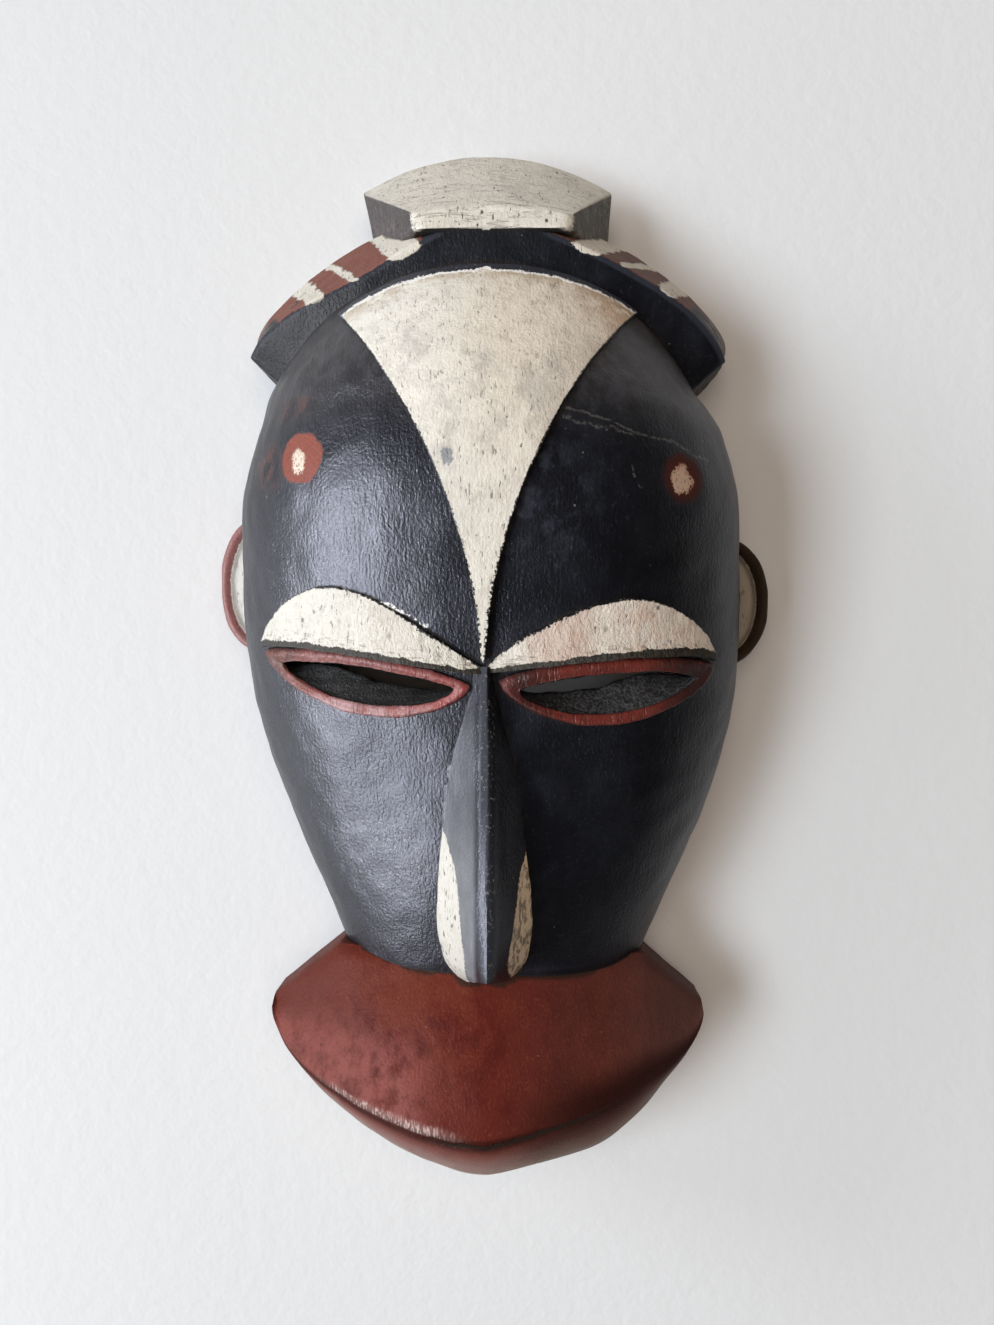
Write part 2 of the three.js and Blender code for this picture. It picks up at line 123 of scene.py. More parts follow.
def part(text, value):
    return partial(FloatProperty, description=text, default=value)


def tint(text, value):
    tones = {"size": 3, "subtype": "COLOR", "min": 0.0, "max": 1.0}
    return partial(FloatVectorProperty, description=text, default=value, **tones)


def labelled(group):
    """Gives every property of a group its label, which is its own name in plain words."""
    for key, make in group.__annotations__.items():
        group.__annotations__[key] = make(name=key.replace("_", " ").capitalize())
    return group


@labelled
class HeadSizes(bpy.types.PropertyGroup):
    """Sizes of the domed head and of the hollow behind it."""

    foot: length("Height of the head's lower end", -0.097)
    top: length("Height of the head's upper end", 0.132)
    widest_level: length("Level above the back where the head is widest", 0.022)
    rim_taper: length("How far the sides draw in down to the back rim", 0.004)
    roundness: part("Power of the rounded arch across the head", 2.2)
    wall: length("Thickness of the sides", 0.011)
    crown_wall: length("Thickness of the face", 0.012)
    hollow_foot: length("Height of the hollow's lower end", -0.083)
    hollow_top: length("Height of the hollow's upper end", 0.119)
    cheek_depth: length("Depth of the shallow hollows beside the nose", 0.0024)
    cheek_place: spot("Middle of the hollows, across and up", (0.030, -0.042))
    cheek_spread: spot("Reach of the hollows, across and up", (0.015, 0.029))
    fineness: length("Distance between the points of the carved surface", 0.00142)


@labelled
class PanelSizes(bpy.types.PropertyGroup):
    """Sizes of the pale wedge on the forehead."""

    left_corner: spot("Upper left corner", (-0.0423, 0.102))
    right_corner: spot("Upper right corner", (0.044, 0.1044))
    top_middle: length("Height of the top edge at its middle", 0.1162)
    foot: length("Height of the narrow lower end", 0.0005)
    curve: pair("Power of the curve of each side", (1.95, 1.88))
    top_squareness: part("Power of the curve of the top edge", 2.3)
    lift: length("How far the panel stands out", 0.0022)
    keel_lift: length("How far its narrow end stands out", 0.0028)
    keel_half_width: length("Half the width of its narrow end", 0.0006)


@labelled
class EyeSizes(bpy.types.PropertyGroup):
    """Sizes of the eyes: the slits, and the raised rims round them."""

    left_slit_inner: spot("Corner next to the nose", (-0.0083, -0.0074))
    left_slit_outer: spot("Corner next to the temple", (-0.0593, -0.0001))
    right_slit_inner: spot("Corner next to the nose", (0.0102, -0.0080))
    right_slit_outer: spot("Corner next to the temple", (0.0615, -0.0042))
    slit_up: pair("Rise of the upper edge in metres", (0.0024, 0.0032))
    slit_down: pair("Drop of the lower edge in metres", (0.0082, 0.0084))
    left_rim_inner: spot("Corner next to the nose", (-0.0036, -0.0066))
    left_rim_outer: spot("Corner next to the temple", (-0.066, 0.0036))
    right_rim_inner: spot("Corner next to the nose", (0.0038, -0.0052))
    right_rim_outer: spot("Corner next to the temple", (0.0676, -0.0006))
    rim_up: pair("Rise of the rim's upper edge in metres", (0.004, 0.0044))
    rim_down: pair("Drop of the rim's lower edge in metres", (0.0134, 0.015))
    rim_lift: length("How far the rims stand out", 0.0022)


@labelled
class BrowSizes(bpy.types.PropertyGroup):
    """Sizes of the two pale brows."""

    left_outer: spot("Outer end of the left brow", (-0.0673, 0.0054))
    right_outer: spot("Outer end of the right brow", (0.0674, 0.0018))
    junction: spot("Point between the brows", (0.0003, -0.0012))
    peak: pair("Rise of the upper edge in metres", (0.0184, 0.0172))
    swell: pair("Power that moves the peak outwards", (1.5, 1.35))
    fullness: pair("Power of the upper edge's curve", (0.75, 0.62))
    gap: length("Gap between the brow and the eye's rim", 0.0006)
    overhang: length("How far the lower edge stands out past the upper one", 0.0042)
    edge: length("How far the upper edge stands out", 0.0012)


@labelled
class NoseSizes(bpy.types.PropertyGroup):
    """Sizes of the long narrow nose."""

    middle: length("Place of its foot across the face", -0.0004)
    aside: length("How far the ridge lies to the right of the middle", 0.0015)
    top: length("Height where the nose begins", -0.001)
    tip: length("Height of its lower end", -0.088)
    ridge_top: length("Level of the ridge at the brows", 0.090)
    ridge_tip: length("Level of the ridge at the lower end", 0.092)
    tip_lean: part("Slope of the lower end", 0.24)
    sink: length("How deep its foot lies in the face", 0.0015)


@labelled
class BandSizes(bpy.types.PropertyGroup):
    """Sizes of the band of hair, part of a ring about a point on the forehead."""

    centre: length("Height of the ring's centre", 0.0296)
    crease_radius: length("Radius where the band meets the forehead", 0.086)
    ridge_radius: length("Radius of the ridge", 0.102)
    outer_radius: length("Radius of the outer edge at the middle", 0.1135)
    outer_end_radius: length("Radius of the outer edge at its ends", 0.109)
    rim_inset: length("How far the outside draws in down to the back", 0.004)
    left_end: part("Angle of the left end in degrees", -48.4)
    right_end: part("Angle of the right end in degrees", 48.8)
    ridge_top: length("Level of the ridge at the middle", 0.0615)
    ridge_end: length("Level of the ridge at its ends", 0.038)
    outer_top: length("Level of the outer edge at the middle", 0.036)
    outer_end: length("Level of the outer edge at its ends", 0.019)
    flat: pair("How far each half is flattened, in metres", (0.007, 0.0035))
    right_draw: length("How far the right end draws in", 0.0024)
    left_spread: length("How far the left outer edge spreads", 0.0012)
    inside: length("How far the band reaches into the head", 0.010)
    crease_drop: length("Drop from the ridge to the crease", 0.0016)
    ridge_width: length("Width of the ridge's flat top", 0.005)
    ridge_drop: length("Drop across the ridge's top", 0.0006)


@labelled
class CrestSizes(bpy.types.PropertyGroup):
    """Sizes of the crest: its small front facet, its wide rim and its back."""

    foot_left: spot("Lower left corner of the front facet", (-0.0214, 0.1288))
    foot_right: spot("Lower right corner of the front facet", (0.0252, 0.1286))
    foot_level: length("Level of the front facet's lower edge", 0.063)
    lip_left: spot("Upper left corner of the front facet", (-0.0218, 0.1344))
    lip_right: spot("Upper right corner of the front facet", (0.0256, 0.1336))
    lip_arch: length("Rise of the lip at its middle", 0.0026)
    lip_level: length("Level of the lip", 0.061)
    corner_left: spot("Left end of the wide rim", (-0.042, 0.1548))
    corner_right: spot("Right end of the wide rim", (0.040, 0.1539))
    top_arch: length("Rise of the wide rim at its middle", 0.0122)
    corner_level: length("Level of the wide rim", 0.023)
    heel_left: spot("Where the left side meets the band", (-0.0366, 0.131))
    heel_right: spot("Where the right side meets the band", (0.038, 0.130))
    back: length("Level of the crest's back", 0.005)


@labelled
class BeardSizes(bpy.types.PropertyGroup):
    """Sizes of the fan-shaped beard."""

    neck_left: spot("Left end of the crease under the face", (-0.0468, -0.0886))
    neck_right: spot("Right end of the crease under the face", (0.0486, -0.0914))
    corner_left: spot("Left corner of the fan", (-0.0694, -0.1066))
    corner_right: spot("Right corner of the fan", (0.0682, -0.1082))
    corner_drop: length("Depth of the blunt corners", 0.0034)
    bottom: length("Height of the lowest point", -0.1602)
    squareness: part("Power of the outline", 1.52)
    neck_level: length("Level of the crease at its middle", 0.056)
    neck_edge: length("Level of the crease at its ends", 0.030)
    ridge_level: length("Level of the rounded ridge at its middle", 0.071)
    ridge_edge: length("Level of the ridge at its ends", 0.036)
    outline_level: length("Level of the outline at its middle", 0.042)
    outline_edge: length("Level of the outline at its ends", 0.030)
    ridge_share: part("Place of the ridge between crease and outline", 0.72)
    ridge_share_edge: part("Place of the ridge at its ends", 0.97)
    back: length("Level of the beard's back", 0.013)
    slope: part("Power by which the front falls to both sides", 1.7)
    fuller: length("How much fuller the outline is at the lower right", 0.004)
    fuller_place: length("Place across where it is fullest", 0.038)
    fuller_reach: length("Reach of that fullness", 0.016)
    ridge_draw: part("Share by which the ridge lies further in on the right", 0.11)
    ridge_draw_place: part("Place along the ridge where it lies furthest in", 0.74)
    ridge_draw_reach: part("Reach of that draw along the ridge", 0.17)


@labelled
class EarSizes(bpy.types.PropertyGroup):
    """Sizes of the ears: flat half rings, hollowed inside their rims."""

    root: pair("Where each ear leaves the head, in metres", (0.074, 0.075))
    reach: pair("How far each ear reaches, in metres", (0.0895, 0.0916))
    middle: pair("Height of each ear's middle, in metres", (0.026, 0.0198))
    half_height: pair("Half the height of each ear, in metres", (0.0228, 0.0214))
    tilt: pair("Slope of each ear's outer end", (-0.02, 0.02))
    rim: length("Width of the rim", 0.0042)
    front: length("Level of the rim", 0.025)
    floor: length("Level of the hollowed floor", 0.022)
    back: length("Level of the ear's back", 0.008)
    sharpness: part("Power of the outline", 0.82)


@labelled
class PaintColours(bpy.types.PropertyGroup):
    """Colours of the paints and of the bare wood."""

    black: tint("Blue-black paint of the face", (0.0060, 0.0062, 0.0082))
    haze: tint("Blue-grey bloom on the black paint", (0.055, 0.06, 0.078))
    white: tint("Fresh white paint along the top of the panel", (0.88, 0.86, 0.80))
    cream: tint("Pale paint of the panel, the brows and the crest", (0.74, 0.685, 0.585))
    cream_grey: tint("Grey clouds in the pale paint", (0.44, 0.415, 0.375))
    ochre: tint("Brown stain on the pale paint", (0.33, 0.22, 0.12))
    brick: tint("Red-brown paint of the bands and the dots", (0.21, 0.072, 0.048))
    rose: tint("Pink bloom on the red paint", (0.36, 0.17, 0.16))
    oxblood: tint("Dark red paint of the beard", (0.105, 0.016, 0.011))
    rust: tint("Lighter red of the beard's worn middle", (0.145, 0.029, 0.016))
    wood: tint("Bare wood of the hollow", (0.20, 0.115, 0.055))
    dark_wood: tint("Dirt in the grain of the bare wood", (0.06, 0.032, 0.016))
    # Also laid in creases and grooves as painted shade.
    grime: tint("Dark dirt in creases and chips", (0.022, 0.018, 0.013))


@labelled
class MarkSizes(bpy.types.PropertyGroup):
    """Places of the painted dots and scratches on the forehead."""

    left_dot: spot("Middle of the dot on the left temple", (-0.0519, 0.058))
    right_dot: spot("Middle of the dot on the right temple", (0.0564, 0.0523))
    dot_radius: pair("Radius of each dot, in metres", (0.0067, 0.0060))
    heart_radius: pair("Radius of each dot's pale middle, in metres", (0.0022, 0.0030))


@labelled
class StageSizes(bpy.types.PropertyGroup):
    """The floor, the lights and the camera."""

    floor_reach: length("Half the width of the floor", 4.0)
    floor_colour: tint("Pale plaster floor", (0.76, 0.76, 0.75))
    camera_x: length("Place of the camera across the face", 0.01095)
    camera_y: length("Place of the camera up the face", -0.00317)
    camera_level: length("Height of the camera over the floor", 0.434)
    aim_x: length("Place that the camera looks at, across the face", 0.00175)
    aim_level: length("Level that the camera looks at", 0.045)
    lens: part("Focal length in millimetres", 33.96)
    key_power: part("Power of the high light at the left, in watts", 98.0)
    side_power: part("Power of the low light at the upper left, in watts", 40.0)
    window_power: part("Power of the window, whose shine lies on the left side", 93.0)
    low_window_power: part("Power of the low window, which only makes sheen", 96.0)
    ceiling_power: part("Power of the light from above, in watts", 16.5)
    sky: part("Strength of the light from all round", 0.04)


def mix(a, b, t):
    return a + (b - a) * t


def curve_through(stations):
    """Smooth curve through [place, value] pairs that doesn't overshoot between them, in metres."""
    places, values = np.array(stations, float).T * MM
    steps = np.diff(places)
    rises = np.diff(values) / steps
    slopes = np.zeros(len(places))
    slopes[0] = rises[0]
    slopes[-1] = rises[-1]
    for i in range(1, len(places) - 1):
        if rises[i - 1] * rises[i] > 0:
            a = 2 * steps[i] + steps[i - 1]
            b = steps[i] + 2 * steps[i - 1]
            slopes[i] = (a + b) / (a / rises[i - 1] + b / rises[i])

    def value(x):
        at = np.clip(x, places[0], places[-1])
        i = np.clip(np.searchsorted(places, at) - 1, 0, len(steps) - 1)
        t = (at - places[i]) / steps[i]
        blend = t * t * (3 - 2 * t)
        bend = steps[i] * t * (1 - t) * (slopes[i] * (1 - t) - slopes[i + 1] * t)
        return values[i] * (1 - blend) + values[i + 1] * blend + bend

    return value


def bow(u, fullness):
    """Rises from 0 at both ends of u to 1 between them."""
    return np.clip(np.sin(np.pi * u), 0, 1) ** fullness


def swell(away):
    """A rounded bump, 1 at its middle."""
    return np.exp(-away ** 2)


class Head:
    """The surface of the head, which the other parts of the carving follow."""

    def __init__(self, sizes):
        self.sizes = sizes
        self.half_width = curve_through(HALF_WIDTH)
        self.crown = curve_through(CROWN)
        self.centre_line = curve_through(CENTRE_LINE)

    def level(self, x, y):
        across = np.minimum(np.abs(x - self.centre_line(y)) / self.half_width(y), 0.999)
        share = (1 - across ** self.sizes.roundness) ** (1 / self.sizes.roundness)
        return mix(self.sizes.widest_level, self.crown(y), share) - self.cheek(x, y)

    def cheek(self, x, y):
        """How deep the shallow hollows beside the nose are."""
        place, spread = self.sizes.cheek_place, self.sizes.cheek_spread
        away = ((np.abs(x) - place[0]) / spread[0]) ** 2 + ((y - place[1]) / spread[1]) ** 2
        return self.sizes.cheek_depth * np.exp(-away)

    def point(self, x, y, lift):
        """A point over the face, lifted from the head's surface along its normal."""
        x, y, lift = np.broadcast_arrays(x, y, lift)
        reach = 0.5 * MM
        slope_x = (self.level(x + reach, y) - self.level(x - reach, y)) / (2 * reach)
        slope_y = (self.level(x, y + reach) - self.level(x, y - reach)) / (2 * reach)
        normal = np.stack([-slope_x, -slope_y, np.ones_like(x)], -1)
        normal /= np.linalg.norm(normal, axis=-1, keepdims=True)
        return np.stack([x, y, self.level(x, y)], -1) + normal * lift[..., None]

    def sections(self, y, width, crown, foot, columns):
        """Cross-sections at the heights y: a rounded arch on straight sides."""
        angle = np.pi * np.linspace(0, 1, columns)
        power = 2 / self.sizes.roundness
        across = np.sign(np.cos(angle)) * np.abs(np.cos(angle)) ** power
        up = np.clip(np.sin(angle), 0, 1) ** power
        middle = self.centre_line(y)[:, None]
        x = middle + width[:, None] * across
        z = mix(self.sizes.widest_level, crown[:, None], up)
        y = y[:, None]
        if foot == 0:
            z = z - self.cheek(x, y)
        arch = np.stack([x, y + 0 * x, z], -1)
        y = y[:, 0]
        feet = []
        for side in (-1, 1):
            foot_x = middle[:, 0] + side * (width - self.sizes.rim_taper)
            feet.append(np.stack([foot_x, y, foot + 0 * y], -1))
        return np.concatenate([arch, np.stack(feet, 1)], 1)


def with_lines(net):
    """Gives each point of a net two more numbers: its share along the net, and its line across."""
    rows, columns = net.shape[:2]
    along = np.repeat(np.linspace(0, 1, rows)[:, None], columns, 1)
    across = np.repeat(np.arange(columns)[None, :], rows, 0)
    return np.concatenate([net, along[..., None], across[..., None]], -1)


def rounded(net, radii, spacing, closed):
    """Joins the lines of a net by straight stretches, and rounds it at each line.

    Radii and the spacing of the points between two lines are in millimetres.
    """
    count = net.shape[1]
    corners = []
    for i in range(count):
        here = net[:, i]
        if radii[i] == 0 or (not closed and i in (0, count - 1)):
            corners.append([here])
            continue
        before = net[:, i - 1] - here
        after = net[:, (i + 1) % count] - here
        reach_before = np.maximum(np.linalg.norm(before[:, :3], axis=1), 1e-9)
        reach_after = np.maximum(np.linalg.norm(after[:, :3], axis=1), 1e-9)
        cut = np.minimum(radii[i] * MM, 0.45 * np.minimum(reach_before, reach_after))
        start = here + before * (cut / reach_before)[:, None]
        end = here + after * (cut / reach_after)[:, None]
        steps = (0, 1 / 3, 2 / 3, 1)
        corners.append([(1 - t) ** 2 * start + 2 * t * (1 - t) * here + t * t * end for t in steps])
    lines = []
    for i in range(count):
        lines += corners[i]
        if i == count - 1 and not closed:
            break
        near = corners[i][-1]
        far = corners[(i + 1) % count][0]
        gap = np.linalg.norm((far - near)[:, :3], axis=1).mean()
        extra = int(gap / (spacing[i] * MM))
        lines += [mix(near, far, k / (extra + 1)) for k in range(1, extra + 1)]
    if closed:
        lines.append(lines[0])
    return np.stack(lines, 1)


def capped(net, radius=0, spacing=WHOLE):
    """Closes both ends of a net at their middles, with a rounded edge round each end."""
    first = np.repeat(net[:1].mean(1, keepdims=True), net.shape[1], 1)
    last = np.repeat(net[-1:].mean(1, keepdims=True), net.shape[1], 1)
    first[..., 3:] = net[:1, :, 3:]
    last[..., 3:] = net[-1:, :, 3:]
    whole = np.concatenate([first, net, last], 0).swapaxes(0, 1)
    radii = [0] * whole.shape[1]
    radii[1] = radius
    radii[-2] = radius
    return rounded(whole, radii, [spacing] * len(radii), False).swapaxes(0, 1)


def deselect_all():
    if bpy.context.object and bpy.context.object.mode != "OBJECT":
        bpy.ops.object.mode_set(mode="OBJECT")
    bpy.ops.object.select_all(action="DESELECT")


def carve(name, net, material):
    """Turns a grid into the closed shape of a net, with the net's two lines as attributes."""
    deselect_all()
    rows, columns = net.shape[:2]
    bpy.ops.mesh.primitive_grid_add(x_subdivisions=columns - 1, y_subdivisions=rows - 1, size=1)
    piece = bpy.context.object
    piece.name = name
    mesh = piece.data
    mesh.name = name
    if len(mesh.vertices) != rows * columns:
        raise RuntimeError(f"{name}: the grid has {len(mesh.vertices)} points, not {rows * columns}")
    mesh.vertices.foreach_set("co", (net[..., :3] - OUTLINE_CENTRE).ravel())
    corners = np.empty(len(mesh.loops), int)
    mesh.loops.foreach_get("vertex_index", corners)
    for line, label in ((3, "along"), (4, "across")):
        values = mesh.attributes.new(label, "FLOAT", "CORNER")
        values.data.foreach_set("value", net[..., line].ravel()[corners])
    mesh.materials.append(material)
    bpy.ops.object.mode_set(mode="EDIT")
    bpy.ops.mesh.select_all(action="SELECT")
    bpy.ops.mesh.remove_doubles(threshold=1e-6)
    bpy.ops.mesh.normals_make_consistent(inside=False)
    bpy.ops.object.mode_set(mode="OBJECT")
    return piece


def combine(block, other, operation):
    """Joins another shape to the block, or cuts it away, and deletes it."""
    deselect_all()
    bpy.context.view_layer.objects.active = block
    block.select_set(True)
    bpy.ops.object.modifier_add(type="BOOLEAN")
    cut = block.modifiers[-1]
    cut.operation = operation
    cut.solver = "MANIFOLD"
    cut.material_mode = "TRANSFER"
    cut.object = other
    bpy.ops.object.modifier_apply(modifier=cut.name)
    bpy.data.objects.remove(other)
    if len(block.data.polygons) == 0:
        raise RuntimeError(f"{operation} left nothing of {block.name}")


def slab_on_head(head, x, y, lift):
    """A slab on the head: its top is a grid of points over the face, and its edges are rounded off."""
    edge, spacing, sink = 0.6, 0.9, 2.5 * MM
    top = head.point(x, y, lift)
    few = np.linspace(0, x.shape[1] - 1, 5).round().astype(int)
    bottom = head.point(x[:, few], y[:, few], -sink)[:, ::-1]
    net = with_lines(np.concatenate([top, bottom], 1))
    columns = top.shape[1]
    net[:, :columns, 4] = np.linspace(0, 1, columns)
    net[:, columns:, 4] = np.linspace(1, 0, len(few))
    radii = [0] * net.shape[1]
    radii[0] = edge
    radii[columns - 1] = edge
    gaps = [WHOLE] * net.shape[1]
    gaps[columns - 1] = spacing
    gaps[-1] = spacing
    return rounded(net, radii, gaps, True)


def eye_line(eyes, side, ring, edge, u):
    """One edge of an eye's slit or rim, from its inner to its outer corner."""
    name = ("left", "right")[side]
    inner = np.array(getattr(eyes, f"{name}_{ring}_inner"))
    outer = np.array(getattr(eyes, f"{name}_{ring}_outer"))
    rise = getattr(eyes, f"{ring}_{edge}")[side]
    if edge == "down":
        rise = -rise
    fullness = 0.5 if (ring, edge) == ("rim", "up") else 0.6
    x = mix(inner[0], outer[0], u)
    y = mix(inner[1], outer[1], u) + rise * bow(u, fullness)
    return np.stack([x, y], -1)


def eye_loop(eyes, side, ring, columns, back_share=1.0):
    """Points round an eye's slit or rim, close together at its corners."""
    u = (1 - np.cos(np.pi * np.linspace(0, 1, columns))) / 2
    up = eye_line(eyes, side, ring, "up", u)
    down = eye_line(eyes, side, ring, "down", u)
    low = mix(up, down, back_share)
    return np.concatenate([up, low[::-1][1:-1]], 0)


def wave(points, lengths, seed):
    """A smooth unevenness between about -1 and 1, the same on every run. Lengths are in millimetres."""
    chance = np.random.default_rng(seed)
    total = np.zeros(points.shape[:-1])
    for size in lengths:
        for _ in range(5):
            direction = chance.normal(size=3)
            direction /= np.linalg.norm(direction)
            phase = chance.uniform(0, 2 * np.pi)
            total += np.sin(points @ direction * (2 * np.pi / (size * MM)) + phase)
    return total / (5 * len(lengths)) ** 0.5 / 1.4


def uneven(net, lengths, height, seed):
    """Moves the points of a net a little, each way by its own wave. Height is in millimetres."""
    shift = [wave(net[..., :3], lengths, seed + axis) * height * MM for axis in range(3)]
    net[..., :3] += np.stack(shift, -1)
    return net


class Socket:
    """One output of a shader node. Arithmetic on it adds Math nodes."""

    def __init__(self, finish, output):
        self.finish = finish
        self.output = output

    def maths(self, operation, *values):
        return self.finish.add("ShaderNodeMath", {"operation": operation}, dict(enumerate(values)))

    def __add__(self, other):
        return self.maths("ADD", self, other)

    def __radd__(self, other):
        return self.maths("ADD", other, self)

    def __sub__(self, other):
        return self.maths("SUBTRACT", self, other)

    def __rsub__(self, other):
        return self.maths("SUBTRACT", other, self)

    def __mul__(self, other):
        return self.maths("MULTIPLY", self, other)

    def __rmul__(self, other):
        return self.maths("MULTIPLY", other, self)

    def __truediv__(self, other):
        return self.maths("DIVIDE", self, other)

    def __rtruediv__(self, other):
        return self.maths("DIVIDE", other, self)

    def __pow__(self, other):
        return self.maths("POWER", self, other)

    def __abs__(self):
        return self.maths("ABSOLUTE", self)

    def __or__(self, other):
        return self.maths("MAXIMUM", self, other)


class Finish:
    """A material, with one method that adds any node and a few that shape patterns.

    Its paints share five noises and one scatter of specks, so that dirt lies in the hollows of the
    same relief that catches the light.
    """

    def __init__(self, name):
        self.material = bpy.data.materials.new(name)
        self.material.use_nodes = True
        self.nodes = self.material.node_tree.nodes
        self.links = self.material.node_tree.links
        self.nodes.clear()
        self.place = self.add("ShaderNodeTexCoord", {}, {}, "Object")
        split = self.add("ShaderNodeSeparateXYZ", {}, {"Vector": self.place})
        # Place across the face and up it, in millimetres.
        self.x = (split + OUTLINE_CENTRE[0]) / MM
        self.y = (Socket(self, split.output.node.outputs["Y"]) + OUTLINE_CENTRE[1]) / MM
        self.clouds = self.noise(15, (1, 1.4, 1), 4, 0.66, 11.0)
        self.patches = self.noise(5, (1, 1.3, 1), 4, 0.66, 21.0)
        self.tooth = self.noise(0.85, (1, 1.25, 1), 2, 0.66, 1.0)
        self.strokes = self.noise(0.7, (1, 5, 5), 2, 0.5, 3.0)
        self.lumps = self.noise(5.5, (1, 2.0, 1), 1, 0.5, 8.0)
        cells = {"Vector": self.mapped(2.4, (1, 1.4, 1), 8.0), "Scale": 1.0}
        self.speck_distance = self.add("ShaderNodeTexVoronoi", {}, cells, "Distance")
        cell_colour = Socket(self, self.speck_distance.output.node.outputs["Color"])
        self.speck_chance = self.add("ShaderNodeSeparateColor", {}, {"Color": cell_colour}, "Red")

    def add(self, kind, settings, values, output=0):
        node = self.nodes.new(kind)
        for name, value in settings.items():
            setattr(node, name, value)
        for name, value in values.items():
            if isinstance(value, Socket):
                self.links.new(value.output, node.inputs[name])
            else:
                node.inputs[name].default_value = value
        return Socket(self, node.outputs[output]) if len(node.outputs) else None

    def attribute(self, name):
        return self.add("ShaderNodeAttribute", {"attribute_name": name}, {}, "Fac")

    def mapped(self, size, stretch, shift):
        """Place on the carving, measured in pattern widths of size millimetres."""
        scale = [1 / (size * MM * s) for s in stretch]
        values = {"Vector": self.place, "Scale": scale, "Location": (shift,) * 3}
        return self.add("ShaderNodeMapping", {}, values)

    def noise(self, size, stretch=(1, 1, 1), detail=3, roughness=0.55, shift=0.0):
        """Cloudy pattern from 0 to 1. size is the width of its clouds in millimetres."""
        place = self.mapped(size, stretch, shift)
        values = {"Vector": place, "Scale": 1.0, "Detail": detail, "Roughness": roughness}
        return self.add("ShaderNodeTexNoise", {}, values)

    def specks(self, radius, low, high):
        """Scattered specks, 1 inside and 0 between, in the cells whose chance is from low to high."""
        chosen = self.ramp(self.speck_chance, low, low + 0.01)
        chosen = chosen * self.ramp(self.speck_chance, high, high - 0.01)
        ragged = self.speck_distance + (self.tooth - 0.5) * 0.3
        return self.ramp(ragged, radius, radius * 0.5) * chosen

    def ramp(self, value, low, high):
        """0 below low and 1 above high, or the other way round where high is the lower."""
        values = {"Value": value, 1: low, 2: high, 3: 0.0, 4: 1.0}
        if not isinstance(low, Socket) and not isinstance(high, Socket) and low > high:
            values = {"Value": value, 1: high, 2: low, 3: 1.0, 4: 0.0}
        return self.add("ShaderNodeMapRange", {"interpolation_type": "SMOOTHSTEP"}, values)

    def blend(self, factor, a, b):
        """Mixes two colours, each a socket or three numbers."""
        a = a if isinstance(a, Socket) else (*a, 1.0)
        b = b if isinstance(b, Socket) else (*b, 1.0)
        return self.add("ShaderNodeMix", {"data_type": "RGBA"}, {0: factor, 6: a, 7: b}, 2)

    def layers(self, colour, *coats):
        """Lays further colours over a colour, each with its share."""
        for share, top in coats:
            colour = self.blend(share, colour, top)
        return colour

    def between(self, factor, a, b):
        """Mixes two numbers."""
        return self.add("ShaderNodeMix", {"data_type": "FLOAT"}, {0: factor, 2: a, 3: b}, 0)

    def oval(self, centre, radius):
        """Distance from a place on the face, as a share of the radius."""
        x = (self.x - centre[0]) / radius[0]
        y = (self.y - centre[1]) / radius[1]
        return (x * x + y * y) ** 0.5

    def scratch(self, start, end, width, wander):
        """A thin wandering line between two places on the face, 1 on it and 0 beside it."""
        way = np.array(end) - np.array(start)
        reach = np.linalg.norm(way)
        way /= reach
        along = (self.x - start[0]) * way[0] + (self.y - start[1]) * way[1]
        aside = (self.x - start[0]) * -way[1] + (self.y - start[1]) * way[0]
        drift = (self.noise(reach / 4, shift=7.0) - 0.5) * wander
        line = self.ramp(abs(aside + drift), width, width * 0.3)
        ends = self.ramp(along, 0.0, width) * self.ramp(along, reach, reach - width)
        return line * ends

    def paint_on(self, colour, roughness, height, shine=0.25, shine_colour=(1.0, 1.0, 1.0)):
        """Finishes the material. height is in millimetres."""
        normal = self.add("ShaderNodeBump", {}, {"Distance": MM, "Height": height})
        values = {"Base Color": colour, "Roughness": roughness, "Normal": normal}
        values |= {"Specular IOR Level": shine, "Specular Tint": (*shine_colour, 1.0)}
        shader = self.add("ShaderNodeBsdfPrincipled", {}, values)
        self.add("ShaderNodeOutputMaterial", {}, {"Surface": shader})
        return self.material


